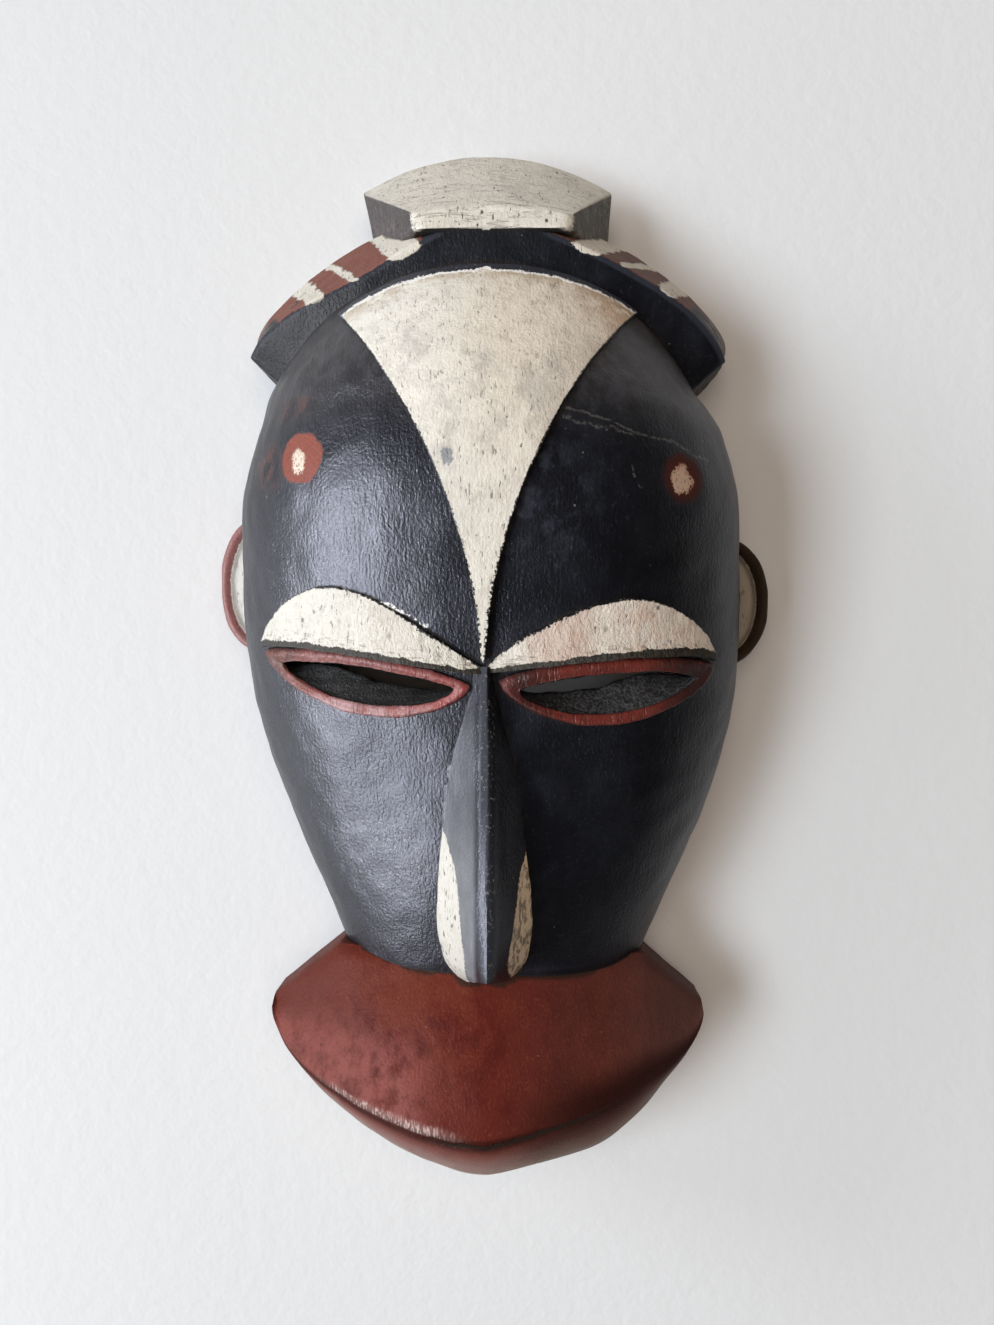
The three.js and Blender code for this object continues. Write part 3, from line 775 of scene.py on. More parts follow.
class Tones:
    """Further tones of the paints, and tones that paint light and shade onto them, named after what they
    colour.
    """

    # Grey for dust and painted sheen on the lit left of the face.
    dust = (0.17, 0.17, 0.18)
    # Painted shade on the right of the face.
    shaded_black = (0.002, 0.002, 0.0025)
    cream_grain = (0.42, 0.34, 0.25)
    cream_fleck = (0.11, 0.09, 0.07)
    thin_film = (0.055, 0.050, 0.048)
    thick_film = (0.095, 0.085, 0.078)
    dot_smear = (0.16, 0.050, 0.032)
    # The second of each pair, for the right dot, is darker as painted shade.
    rings = ((0.25, 0.048, 0.015), (0.060, 0.013, 0.007))
    hearts = ((0.80, 0.68, 0.54), (0.52, 0.37, 0.27))
    heart_dirt = (0.36, 0.17, 0.10)
    warm_cream = (0.80, 0.70, 0.56)
    lit_cream = (0.88, 0.84, 0.75)
    mottle = (0.38, 0.33, 0.27)
    soot = (0.34, 0.32, 0.29)
    shaded_cream = (0.34, 0.27, 0.21)
    stain = (0.50, 0.30, 0.17)
    blue_smear = (0.15, 0.16, 0.19)
    # Brown band under the lip, painted as shade.
    shade_under_lip = (0.46, 0.35, 0.23)
    white_lip = (0.95, 0.93, 0.89)
    # Paler left brow, painted light.
    left_brow = (0.86, 0.83, 0.76)
    right_brow = (0.72, 0.50, 0.39)
    dim_brow = (0.50, 0.34, 0.27)
    brow_lines = (0.20, 0.165, 0.11)
    olive = (0.052, 0.042, 0.027)
    # Left rim, made paler as painted light.
    left_rim = (0.30, 0.10, 0.086)
    right_rim = (0.15, 0.026, 0.018)
    inner_rim = (0.32, 0.045, 0.040)
    right_rim_bloom = (0.22, 0.05, 0.035)
    rim_shade = (0.022, 0.011, 0.010)
    # Pink of the painted highlight on the left rim.
    rim_pink = (0.50, 0.30, 0.30)
    rim_dirt = (0.075, 0.035, 0.024)
    tan = (0.80, 0.64, 0.46)
    tan_gaps = (0.06, 0.045, 0.03)
    patch_crack = (0.30, 0.24, 0.17)
    # Grey of the nose's left flank: dust and painted sheen.
    upper_flank = (0.115, 0.113, 0.125)
    lower_flank = (0.27, 0.265, 0.27)
    dull_brick = (0.10, 0.058, 0.042)
    band_black = (0.003, 0.003, 0.004)
    worn_tip = (0.33, 0.33, 0.28)
    crest_grey = (0.62, 0.585, 0.50)
    crest_crack = (0.40, 0.34, 0.26)
    crest_left = (0.17, 0.13, 0.118)
    crest_right = (0.22, 0.195, 0.135)
    crest_dirt = (0.028, 0.022, 0.022)
    dark_beard = (0.070, 0.012, 0.008)
    left_beard = (0.17, 0.052, 0.040)
    low_beard = (0.18, 0.046, 0.032)
    rubbed_beard = (0.26, 0.070, 0.044)
    right_beard = (0.095, 0.048, 0.040)
    # Painted shade on the rolled ridge.
    shaded_rolled_ridge = (0.014, 0.005, 0.004)
    warm_beard = (0.30, 0.085, 0.070)
    # Slope below the beard's ridge: lit on the left and shaded on the right, as painted light and shade,
    # each paler towards the edge.
    lit_left_slope = ((0.30, 0.135, 0.115), (0.44, 0.32, 0.27))
    shaded_right_slope = ((0.090, 0.042, 0.034), (0.26, 0.18, 0.14))
    # Dry brushing and painted highlight on the beard's ridge.
    dry_brush_and_highlight = (0.56, 0.40, 0.36)
    pale_edge = (0.48, 0.36, 0.30)
    # Ears: lit copies on the left and shaded copies on the right, as painted light and shade.
    left_ear = (0.30, 0.135, 0.125)
    right_ear = (0.024, 0.016, 0.010)
    right_ear_bloom = (0.055, 0.036, 0.024)
    left_ear_floor = (0.95, 0.94, 0.89)
    right_ear_floor = (0.20, 0.165, 0.13)
    slit = (0.014, 0.013, 0.013)
    left_slit = (0.026, 0.026, 0.026)
    # Paler wood of the right slit, painted light.
    right_slit = (0.07, 0.07, 0.07)
    # Painted shade at the back of the slits.
    deep_slit = (0.003, 0.003, 0.003)
    floor_cloud = (0.69, 0.69, 0.68)


# A coat of paint is a colour, a roughness and a height.
def over(f, mask, top, under):
    """Lays one coat over another where the mask is 1."""
    colour = f.blend(mask, under[0], top[0])
    return colour, f.between(mask, under[1], top[1]), f.between(mask, under[2], top[2])


def tinted(f, coat, *layers):
    """A coat with further colours laid over its own."""
    return f.layers(coat[0], *layers), coat[1], coat[2]


def black_paint(f, colours):
    """Blue-black paint with a fine tooth and scuffs, paler on the left with dust and painted light, and
    blacker on the right with painted shade.
    """
    scuffs = f.ramp(f.tooth + f.patches * 0.4, 0.80, 1.0)
    wear = f.attribute("wear")
    hairs = f.ramp(abs(f.patches - 0.5), 0.010, 0.003) * f.ramp(f.clouds, 0.54, 0.62)
    # Dust and painted light: grey on the left of the face, where the light falls.
    dust_and_light = f.ramp(f.x, -36, -60) * f.ramp(f.y, 60, 20) * (0.2 + f.patches)
    # Painted shade: the right of the face is made blacker, away from the light.
    right = f.ramp(f.x, 15, 60) * f.ramp(f.y, 70, 30)
    colour = f.layers(
        colours.black,
        (f.ramp(f.clouds, 0.38, 0.72) * 0.14 + f.strokes * 0.05, colours.haze),
        (scuffs * 0.45, colours.haze),
        (f.ramp(wear, 0.3, 1.0) * 0.5, colours.haze),
        # Dirt and painted shade, darker in creases.
        (f.ramp(wear, -0.2, -0.8) * 0.6, colours.grime),
        (f.specks(0.10, 0.92, 1.1) * 0.5, colours.cream_grey),
        (hairs * f.ramp(f.tooth, 0.42, 0.6) * 0.4, colours.haze),
        (dust_and_light * 0.16, Tones.dust),
        (right * 0.85, Tones.shaded_black),
    )
    roughness = 0.27 + f.tooth * 0.10 + f.clouds * 0.16 + scuffs * 0.12
    return colour, roughness, f.strokes * 0.13 + f.tooth * 0.23 + f.lumps * 0.13 + f.patches * 0.13


def cream_paint(f, colours):
    """Thick lumpy pale paint with grey clouds, stains, dark pits and a grain down the face."""
    flecks = f.ramp(f.strokes - (f.patches - 0.5) * 0.35, 0.33, 0.27)
    pits = f.specks(0.26, -0.1, 0.05) | f.specks(0.15, 0.4, 0.55)
    colour = f.layers(
        colours.cream,
        (f.ramp(f.clouds, 0.46, 0.68) * 0.22, colours.cream_grey),
        (f.ramp(f.patches, 0.48, 0.68) * 0.16, colours.ochre),
        (f.ramp(f.tooth, 0.52, 0.66) * 0.2, colours.white),
        (f.ramp(f.strokes, 0.54, 0.72) * 0.25, Tones.cream_grain),
        (flecks * 0.85, Tones.cream_fleck),
        (pits * 0.85, colours.grime),
        # Dirt and painted shade, darker in creases.
        (f.ramp(f.attribute("wear"), -0.15, -0.8) * 0.75, colours.grime),
    )
    height = f.strokes * 0.14 + f.tooth * 0.22 + f.lumps * 0.3 + f.patches * 0.6 - (flecks | pits) * 0.3
    return colour, 0.58 + f.tooth * 0.14, height


def red_paint(f, colours, deep, bloom, share):
    """Red paint with a paler bloom where it is rubbed."""
    wear = f.attribute("wear")
    colour = f.layers(
        deep,
        (f.ramp(f.patches, 0.42, 0.7) * share, bloom),
        (f.ramp(wear, 0.2, 0.9) * share, bloom),
        # Dirt and painted shade, darker in creases.
        (f.ramp(wear, -0.15, -0.7) * 0.75, colours.grime),
        (f.ramp(f.tooth, 0.38, 0.26) * 0.6, colours.grime),
    )
    return colour, 0.38 + f.tooth * 0.2, f.strokes * 0.08 + f.tooth * 0.3 + f.lumps * 0.2


def face_finish(colours, marks):
    """Black face with a red dot on each temple, pale scratches and scuffs."""
    f = Finish("face_paint")
    colour, roughness, height = black_paint(f, colours)
    swirls = f.ramp(abs(f.patches - 0.5), 0.012, 0.004) * f.ramp(f.oval((-32, -58), (18, 15)), 1, 0.6)
    # Dust and painted sheen: a pale film over the upper forehead, where light from above falls.
    dust_and_light = f.ramp(f.y, 58, 92)
    film = f.blend(f.ramp(f.patches, 0.4, 0.65), Tones.thin_film, Tones.thick_film)
    # Patches of that dust, and a pale patch right of the panel that is painted sheen.
    dust = dust_and_light * f.ramp(f.patches + f.tooth * 0.5, 0.68, 0.9)
    dust = dust | f.ramp(f.oval((17, 45), (20, 26)), 1, 0.2) * f.ramp(f.patches, 0.46, 0.66)
    dots = [[place / MM for place in dot] for dot in (marks.left_dot, marks.right_dot)]
    x, y = dots[0]
    smear = f.ramp(f.oval((x - 11, y - 1), (8, 10)), 1, 0.2)
    smear = smear | f.ramp(f.oval((x - 4, y + 16), (10, 5)), 1, 0.2)
    colour = f.layers(
        colour,
        (dust_and_light * (0.35 + f.clouds * 0.7), film),
        (swirls * 0.6 + dust * 0.4, colours.haze),
        (swirls * f.tooth * 0.6, colours.cream_grey),
        (smear * f.ramp(f.patches, 0.42, 0.6) * 0.5, Tones.dot_smear),
    )
    ragged = f.patches - 0.5
    grain = f.tooth - 0.5
    for side, (x, y) in enumerate(dots):
        wide = marks.dot_radius[side] / MM
        ring = f.oval((x, y), (wide, wide * 1.14)) + ragged * 0.4 + grain * 0.1
        inside = f.ramp(ring, (1.06, 1.25)[side], (0.92, 0.7)[side])
        small = marks.heart_radius[side] / MM
        heart = f.oval((x - 0.9, y - 0.8), (small, small * (1.5, 1.22)[side])) + ragged * 1.6 + grain * 1.2
        # The right dot's ring and middle are darker than the left's, as painted shade.
        red = f.blend(f.ramp(f.tooth, 0.45, 0.3) * 0.5, Tones.rings[side], colours.grime)
        pale = f.blend(f.ramp(f.tooth, 0.5, 0.36) * 0.8, Tones.hearts[side], Tones.heart_dirt)
        colour = f.layers(colour, (inside, red), (f.ramp(heart, 1.14, 0.94), pale))
        roughness = f.between(inside, roughness, 0.75)
    lines = f.scratch((22.2, 69.6), (65.2, 58.8), 0.7, 7)
    lines = lines | f.scratch((21.5, 67.2), (42.0, 63.5), 0.7, 6)
    lines = lines | f.scratch((40.5, 54.5), (43.4, 47.7), 0.4, 2)
    # White chips above the inner end of the left brow.
    chips = f.scratch((-28.5, 17.2), (-15.0, 9.8), 0.6, 3) * f.ramp(f.patches * 0.7 + f.tooth, 0.76, 0.86)
    scratches = (lines * f.ramp(f.tooth, 0.36, 0.6) * 0.16, colours.cream_grey)
    return f.paint_on(f.layers(colour, scratches, (chips, colours.white)), roughness, height, 0.25, BLUISH)


def panel_finish(colours):
    """Pale panel with black-flecked sides, a white lip along its top and a brown right corner."""
    f = Finish("panel_paint")
    cream = cream_paint(f, colours)
    inset = f.attribute("across") / MM
    # The band's black paint reaches over the panel's upper edge, least at the corners.
    from_top = f.attribute("along") / MM - 2.3 + (f.x / 42) * (f.x / 42) * 1.3
    from_top = from_top + f.ramp(abs(f.x), 3.5, 0.3) * 1.4 + (f.patches - 0.5) * 2.6 + (f.tooth - 0.5) * 0.8
    high = f.ramp(f.y, 35, 95)
    mottle = f.ramp(f.patches + f.tooth * 0.35, 0.64, 0.82)
    soot = f.ramp(f.clouds + f.tooth * 0.25, 0.60, 0.80) * f.ramp(abs(f.y - 70), 34, 12)
    shaded = f.ramp(inset, 8, 1) * f.ramp(f.x, 8, 22) * f.ramp(f.y, 96, 84)
    stain = f.ramp(f.x, 20, 40) * f.ramp(from_top, 22, 2) * f.ramp(f.patches, 0.3, 0.55)
    torn = f.patches * 1.2 + f.tooth * 1.4
    smear = f.ramp(f.oval((-9.5, 56), (2.4, 3.6)) + torn, 2.2, 1.9)
    # Painted shade: a brown band under the white lip along the top.
    shade_under_lip = f.ramp(from_top, 6.5, 1.4) * f.ramp(f.patches, 0.34, 0.55)
    lip = f.ramp(abs(from_top - 0.4), 1.0, 0.5) * f.ramp(f.clouds + f.tooth * 0.5, 0.56, 0.66)
    colour = f.layers(
        cream[0],
        (high * 0.7, Tones.warm_cream),
        (f.ramp(f.x, 10, -20) * (0.35 + high * 0.45), Tones.lit_cream),
        (mottle * (0.1 + high * 0.15), Tones.mottle),
        (soot * 0.4, Tones.soot),
        (shaded * (0.1 + f.patches * 0.5), Tones.shaded_cream),
        (stain * 0.75, Tones.stain),
        (smear * 0.75, Tones.blue_smear),
        (shade_under_lip * 0.6, Tones.shade_under_lip),
        (lip * 0.95, Tones.white_lip),
    )
    cream = (colour, cream[1], cream[2] + lip * 0.4)
    # Distance to the nearest edge, rounded at the corners.
    side = (inset | 0.0) + 0.02
    below = (from_top | 0.0) + 0.02
    edge = side * below / (side + below) + (f.tooth - 0.5) * (0.9 + f.ramp(f.y, 45, 0) * 2.4)
    coat = over(f, f.ramp(edge, 0.10, 0.35), cream, black_paint(f, colours))
    chip = f.ramp(f.oval((41.2, 111.6), (2.4, 1.0)) + torn, 2.45, 2.2)
    return f.paint_on(*tinted(f, coat, (chip * 0.8, colours.cream_grey)))


def brow_finish(colours):
    """Pale brow with a dark brown line under its lower edge and black over its upper one."""
    f = Finish("brow_paint")
    from_low = f.attribute("across") / MM
    from_up = f.attribute("along") / MM
    dim = f.ramp(f.x, 8, 16) * f.ramp(f.x, 34, 26)
    lines = f.ramp(f.noise(1.1, (6, 1, 1), 2, 0.6, 19.0), 0.52, 0.66) * f.ramp(from_low, 6, 3)
    colour, roughness, height = tinted(
        f, cream_paint(f, colours),
        # Painted light: the left brow, facing the light, is made paler.
        (f.ramp(f.x, -5, -20) * 0.2, Tones.left_brow),
        (f.ramp(f.x, 5, 25) * (0.15 + f.ramp(f.patches, 0.45, 0.62) * 0.35), Tones.right_brow),
        (dim * (0.35 + f.patches * 0.4), Tones.dim_brow),
        (lines * 0.6, Tones.brow_lines),
    )
    height = height + f.tooth * 0.25 + f.patches * 0.3
    brown = f.blend(f.ramp(f.tooth, 0.42, 0.65), colours.grime, Tones.olive)
    grain = f.tooth - 0.5
    ragged = f.patches - 0.5
    inner = f.ramp(abs(f.x), 30, 20)
    upper = from_up + grain * (1.4 + inner * 2.8) + ragged * 1.2 - inner * 0.4
    coat = over(f, f.ramp(upper, 0.0, 0.35), (colour, roughness, height), black_paint(f, colours))
    lower = from_low + grain * 1.2 + ragged * 2.4 + inner * 0.3 - f.ramp(f.x, 35, 60) * 0.7
    return f.paint_on(*over(f, f.ramp(lower, 1.95, 1.7), (brown, 0.8, height), coat))


def rim_finish(colours):
    """Red rim of an eye, chopped by the chisel: pinker on the left, and paler there as painted light, deeper
    on the right, with a painted pink highlight low on the left.
    """
    f = Finish("rim_paint")
    side = f.ramp(f.x, -5, 15)
    # The left rim is pinker and, as painted light, paler than the right one.
    deep = f.blend(side, Tones.left_rim, Tones.right_rim)
    deep = f.blend(f.ramp(abs(f.x), 32, 12) * (1 - side) * 0.6, deep, Tones.inner_rim)
    bloom = f.blend(side, colours.rose, Tones.right_rim_bloom)
    rough = f.patches + f.tooth * 0.3
    shade = side * (f.ramp(f.x, 42, 60) | f.ramp(f.x, 24, 8)) * f.ramp(rough, 0.38, 0.56)
    # Painted highlight: a pink patch low on the left rim.
    pink = f.ramp(f.y, -8, -12) * f.ramp(f.x, -12, -24) * f.ramp(rough, 0.5, 0.72)
    dirt = f.ramp(f.x, -44, -62) * f.ramp(f.patches + f.tooth * 0.4, 0.52, 0.78)
    nicks = f.ramp(f.noise(1.1, (1, 5, 5), 2, 0.6, 31.0), 0.5, 0.68)
    colour, roughness, height = tinted(
        f, red_paint(f, colours, deep, bloom, 0.4),
        (shade * 0.9, Tones.rim_shade),
        (pink * 0.75, Tones.rim_pink),
        (dirt * 0.75, Tones.rim_dirt),
        (nicks * 0.3, colours.grime),
    )
    red = (colour, roughness, height - nicks * 0.15)
    edge = f.attribute("across") + (f.tooth - 0.5) * 0.7 + (f.patches - 0.5) * 0.5
    return f.paint_on(*over(f, f.ramp(edge, 1.15, 1.6), red, black_paint(f, colours)), 0.14)


def nose_finish(colours):
    """Black nose with a pale patch low on each side, a rubbed ridge and a left flank painted grey as sheen.
    """
    f = Finish("nose_paint")
    worn = f.ramp(f.noise(1.2, (1, 4, 4), 3, 0.7, 3.0), 0.46, 0.58)
    tan = f.blend(worn * 0.7, Tones.tan, Tones.tan_gaps)
    cracks = f.ramp(f.strokes, 0.40, 0.33) * f.ramp(f.x, -7, -9.5)
    cream = cream_paint(f, colours)
    cream = tinted(f, cream, (f.ramp(f.x, -2, 6), tan), (cracks * 0.8, Tones.patch_crack))
    # Dust and painted sheen: the left flank, facing the light, turns grey, paler towards the tip.
    flank = f.ramp(f.x, -1.6, -3.4) * f.ramp(f.y, -6, -26)
    dust_and_light = f.blend(f.ramp(f.y, -38, -64), Tones.upper_flank, Tones.lower_flank)
    black = tinted(f, black_paint(f, colours), (flank * (0.4 + f.patches * 0.6), dust_and_light))
    black = (black[0], f.between(flank, black[1], 0.55), black[2])
    patch = f.attribute("across") / MM + (f.tooth - 0.5) * 1.2 + (f.patches - 0.5)
    colour, roughness, height = over(f, f.ramp(patch, -0.1, 0.2), cream, black)
    ridge = f.ramp(abs(f.x - 1.2), 2.6, 1.4)
    chips = ridge * f.ramp(f.tooth + f.patches * 0.4, 0.80, 0.88)
    colour = f.blend(chips * 0.35, colour, colours.cream_grey)
    roughness = f.between(ridge * 0.5, roughness, 0.6)
    roughness = f.between(ridge * f.ramp(f.y, -62, -38), roughness, 0.85)
    return f.paint_on(colour, roughness, height, 0.25, BLUISH)


def band_finish(colours):
    """Black band of hair with red and pale blocks painted along its outer slope."""
    f = Finish("hair_paint")
    black = black_paint(f, colours)
    cream = cream_paint(f, colours)
    brick = red_paint(f, colours, colours.brick, colours.rose, 0.2)
    brick = tinted(f, brick, (f.ramp(f.x, -5, 5) * 0.6, Tones.dull_brick))
    angle = f.attribute("along")
    line = f.attribute("across")
    ragged = f.tooth - 0.5
    swing = f.patches - 0.5
    edge = line + ragged * 0.25 + swing * 0.1
    outer_strip = f.ramp(edge + swing * 0.3, 4.5, 4.75) * f.ramp(line, 5.3, 5.1) * 0.8
    long_part = f.ramp(angle, -41.0, -40.0) * f.ramp(angle, 39.0, 37.5)
    painted = f.ramp(edge, 3.94, 4.02) * (outer_strip | long_part) * f.ramp(abs(angle), 11.0, 11.6)
    coat = over(f, painted, brick, black)
    for middle, reach, slant, low in PALE_BLOCKS:
        lean = slant if middle < 0 else -slant
        place = abs(angle + swing * 2.6 + ragged * 0.9 + (line - 4.3) * lean - middle)
        bulge = f.ramp(edge + swing * 0.4 - (place / reach) ** 3 * 0.2, low - 0.05, low + 0.05)
        coat = over(f, f.ramp(place, reach + 0.2, reach - 0.2) * bulge, cream, coat)
    # A dark curl scratched into the third block on the left.
    curl = f.ramp(abs(f.oval((-61.7, 113.1), (2.2, 2.0)) + swing * 0.8 - 0.75), 0.28, 0.12)
    curl = curl * f.ramp(f.x + 61.7, -1.5, 0.0) * f.ramp(line, 3.7, 3.8)
    coat = over(f, curl * 0.8, black, coat)
    tips = f.ramp(angle, -41.0, -43.0) | f.ramp(angle, 39.5, 42.0)
    worn = f.ramp(f.patches + f.tooth * 0.6 + (line - 4.5) * 0.1, 0.74, 0.96)
    slope = f.ramp(line, 3.95, 4.3) * f.ramp(line, 5.15, 5.0)
    white = f.ramp(line + ragged * 0.1 + swing * 0.25, 2.13, 2.07)
    colour = f.layers(
        coat[0],
        (f.ramp(f.x, -20, -45) * f.ramp(line, 4.0, 3.8) * 0.6, Tones.band_black),
        (tips * worn * slope * 0.45, Tones.worn_tip),
        (white * f.ramp(angle, -22.0, -19.5) * f.ramp(angle, 19.0, 16.5), colours.white),
    )
    return f.paint_on(colour, coat[1] + 0.08, coat[2], 0.08)


def crest_finish(colours):
    """Pale crest with dark sides, cracked at the front and greyer behind."""
    f = Finish("crest_paint")
    ring = f.attribute("along")
    line = f.attribute("across")
    cracks = f.ramp(f.noise(1.6, (6, 1, 1), 3, 0.7, 3.0), 0.53, 0.68)
    lip = f.ramp(abs(ring - 1.0), 0.12, 0.02)
    colour, roughness, height = tinted(
        f, cream_paint(f, colours),
        (f.ramp(ring, 1.0, 1.1) * (0.05 + f.clouds * 0.2), Tones.crest_grey),
        (cracks * (0.22 + lip * 0.4), Tones.crest_crack),
    )
    height = height - cracks * 0.4
    brown = f.blend(f.ramp(f.x, 0, 10), Tones.crest_left, Tones.crest_right)
    brown = f.blend(f.ramp(f.patches + f.tooth * 0.5, 0.5, 0.75) * 0.75, brown, Tones.crest_dirt)
    ragged = (f.tooth - 0.5) * 0.2
    middle = f.ramp(line, 1.95, 2.02) * f.ramp(line, 3.05, 2.98)
    side = f.ramp(ring + ragged, 1.04, 1.08) * (1 - middle)
    coat = over(f, side, (brown, 0.55, height), (colour, roughness, height))
    foot = f.ramp(line + ragged * 0.3, 0.95, 0.85) | f.ramp(line + ragged * 0.3, 4.05, 4.15)
    return f.paint_on(*over(f, f.ramp(ring, 0.93, 0.97) * foot, (colours.grime, 0.6, 0.0), coat))


def beard_finish(colours):
    """Oxblood beard, browner to both sides, pale at its edge, with pink dry brushing on its ridge that is
    also its painted highlight, and painted shade on the rolled ridge.
    """
    f = Finish("beard_paint")
    line = f.attribute("across")
    middle = f.ramp(f.oval((-24, -106), (34, 28)), 1.2, 0.3)
    worn = f.ramp(f.clouds + f.patches * 0.4, 0.55, 0.8) * (0.35 + middle * 0.65)
    # Painted shade makes the rolled ridge nearly black on the right. The slope below it is paler on the left
    # as painted light and darker on the right as painted shade, and paler towards the edge, partly worn and
    # partly painted light from the floor.
    shaded_roll = f.ramp(line, 3.4, 3.9) * f.ramp(line, 5.6, 4.6) * f.ramp(f.x, -5, 35)
    shaded_roll = shaded_roll | f.ramp(line, 3.98, 4.1) * f.ramp(line, 4.75, 4.45) * 0.75
    warm = f.ramp(line, 2.6, 3.6) * f.ramp(line, 4.0, 3.9) * f.ramp(f.x, -8, -30)
    lit_left_slope = f.blend(f.ramp(line, 4.8, 6.2), *Tones.lit_left_slope)
    shaded_right_slope = f.blend(f.ramp(line, 4.9, 6.2), *Tones.shaded_right_slope)
    slope = f.blend(f.ramp(f.x, 0, 20), lit_left_slope, shaded_right_slope)
    brushed = f.ramp(f.noise(0.6, (1, 7, 7), 2, 0.6, 6.0) + f.tooth * 0.4, 0.68, 0.84)
    ridge = line + (f.patches - 0.5) * 0.12
    ridge = f.ramp(ridge, 3.88, 3.96) * f.ramp(ridge, 4.2, 4.05)
    ridge = ridge * f.ramp(f.x, -4, -20) * f.ramp(f.x, -56, -40)
    groove = f.ramp(abs(line + (f.patches - 0.5) * 0.4 - 4.3), 0.16, 0.06)
    groove = groove * f.ramp(f.x, -22, -8) * f.ramp(f.x, 45, 20)
    edge = f.ramp(line, 5.5, 6.6) * f.ramp(f.x, 10, -30) * f.ramp(f.patches, 0.36, 0.52)
    colour = f.layers(
        colours.oxblood,
        (worn, colours.rust),
        (f.ramp(f.clouds + f.patches * 0.5, 0.72, 0.5) * 0.48, Tones.dark_beard),
        (f.ramp(f.x, -30, -66) * 0.6, Tones.left_beard),
        (f.ramp(line, 5.2, 5.8) * f.ramp(abs(f.x), 30, 10), Tones.low_beard),
        (f.ramp(f.tooth + f.patches * 0.5, 0.80, 0.97) * 0.25, Tones.rubbed_beard),
        (f.ramp(f.x, 0, 30) * 0.3 + f.ramp(f.x, 30, 62) * 0.5, Tones.right_beard),
        (shaded_roll * 0.8, Tones.shaded_rolled_ridge),
        (warm * f.ramp(f.patches, 0.3, 0.6) * 0.7, Tones.warm_beard),
        # Painted light and shade on the slope below the ridge.
        (f.ramp(line, 4.3, 5.2) * (0.6 + f.patches * 0.4), slope),
        # Pink dry brushing on the ridge, laid on also as its painted highlight.
        (ridge * (0.2 + brushed * 0.8), Tones.dry_brush_and_highlight),
        # Dirt and painted shade in the groove under the ridge.
        (groove * 0.8, colours.grime),
        (f.ramp(f.tooth, 0.37, 0.26) * 0.5, colours.grime),
        (f.specks(0.16, -0.1, 0.03) * 0.7, colours.grime),
        (f.specks(0.08, 0.96, 1.1) * 0.6, colours.cream_grey),
        # Dirt and painted shade, darker in creases.
        (f.ramp(f.attribute("wear"), -0.15, -0.7) * 0.75, colours.grime),
        (edge * 0.8, Tones.pale_edge),
    )
    height = f.strokes * 0.06 + f.tooth * 0.26 + f.lumps * 0.3 - groove * 0.4
    return f.paint_on(colour, 0.36 + f.tooth * 0.2, height, 0.02)


def ear_finish(colours):
    """Ears with a flat rim, paler inside it: the left ear brick, with its rim and inside painted lighter as
    painted light, and the right one dark brown as painted shade.
    """
    f = Finish("ear_paint")
    side = f.ramp(f.x, -5, 5)
    # Painted light and shade: the left ear, on the lit side, is pinker and very pale inside; the right ear
    # is near black and dark inside.
    deep = f.blend(side, Tones.left_ear, Tones.right_ear)
    bloom = f.blend(side, colours.rose, Tones.right_ear_bloom)
    red = red_paint(f, colours, deep, bloom, 0.35)
    inside = f.blend(side, Tones.left_ear_floor, Tones.right_ear_floor)
    cream = tinted(f, cream_paint(f, colours), (0.85 - side * 0.1, inside))
    edge = f.attribute("across") + (f.tooth - 0.5) * 0.5 - side * 0.35
    return f.paint_on(*over(f, f.ramp(edge, 3.8, 4.0), cream, red), 0.1)


def bare_wood(colours):
    """Bare gouged wood of the hollow, dark with age."""
    f = Finish("bare_wood")
    grain = f.noise(0.9, (1, 22, 4), 3, 0.6, 4.0)
    cells = {"Vector": f.place, "Scale": 1 / (9 * MM)}
    gouges = f.add("ShaderNodeTexVoronoi", {"feature": "SMOOTH_F1"}, cells)
    wood = f.blend(f.ramp(grain, 0.35, 0.7), colours.dark_wood, colours.wood)
    wood = f.blend(f.ramp(f.clouds, 0.4, 0.7) * 0.6, wood, colours.dark_wood)
    return f.paint_on(wood, 0.72 + grain * 0.12, grain * 0.15 + gouges * 0.9)


def slit_finish():
    """Dark rough wood inside the eye slits, paler in the right one as painted light, and painted blackest at
    its back as painted shade.
    """
    f = Finish("slit_wood")
    # Painted light: the right slit's wood is paler, where light shows through it.
    worn = f.blend(f.ramp(f.x, 5, -5), Tones.right_slit, Tones.left_slit)
    colour = f.blend(f.ramp(f.tooth, 0.35, 0.7), Tones.slit, worn)
    # Painted shade: black at the back of the slits.
    colour = f.blend(f.ramp(f.attribute("along"), 0.62, 0.75), colour, Tones.deep_slit)
    return f.paint_on(colour, 0.6, f.tooth * 0.5)


class MASK_OT_head(bpy.types.Operator):
    """Carve the domed head as a solid block"""

    bl_idname = "mask.head"
    bl_label = "Head"

    def execute(self, context):
        scene = context.scene
        sizes = scene.mask_head
        head = Head(sizes)
        rows = round((sizes.top - sizes.foot) / sizes.fineness)
        y = np.linspace(sizes.foot, sizes.top, rows)
        arch_columns = 180
        net = with_lines(head.sections(y, head.half_width(y), head.crown(y), 0.0, arch_columns))
        radii = [0] * arch_columns + [1, 1]
        spacing = [WHOLE] * (arch_columns - 1) + [3, 8, 3]
        net = capped(rounded(net, radii, spacing, True))
        carve("carved_mask", net, face_finish(scene.mask_paint, scene.mask_marks))
        return {"FINISHED"}


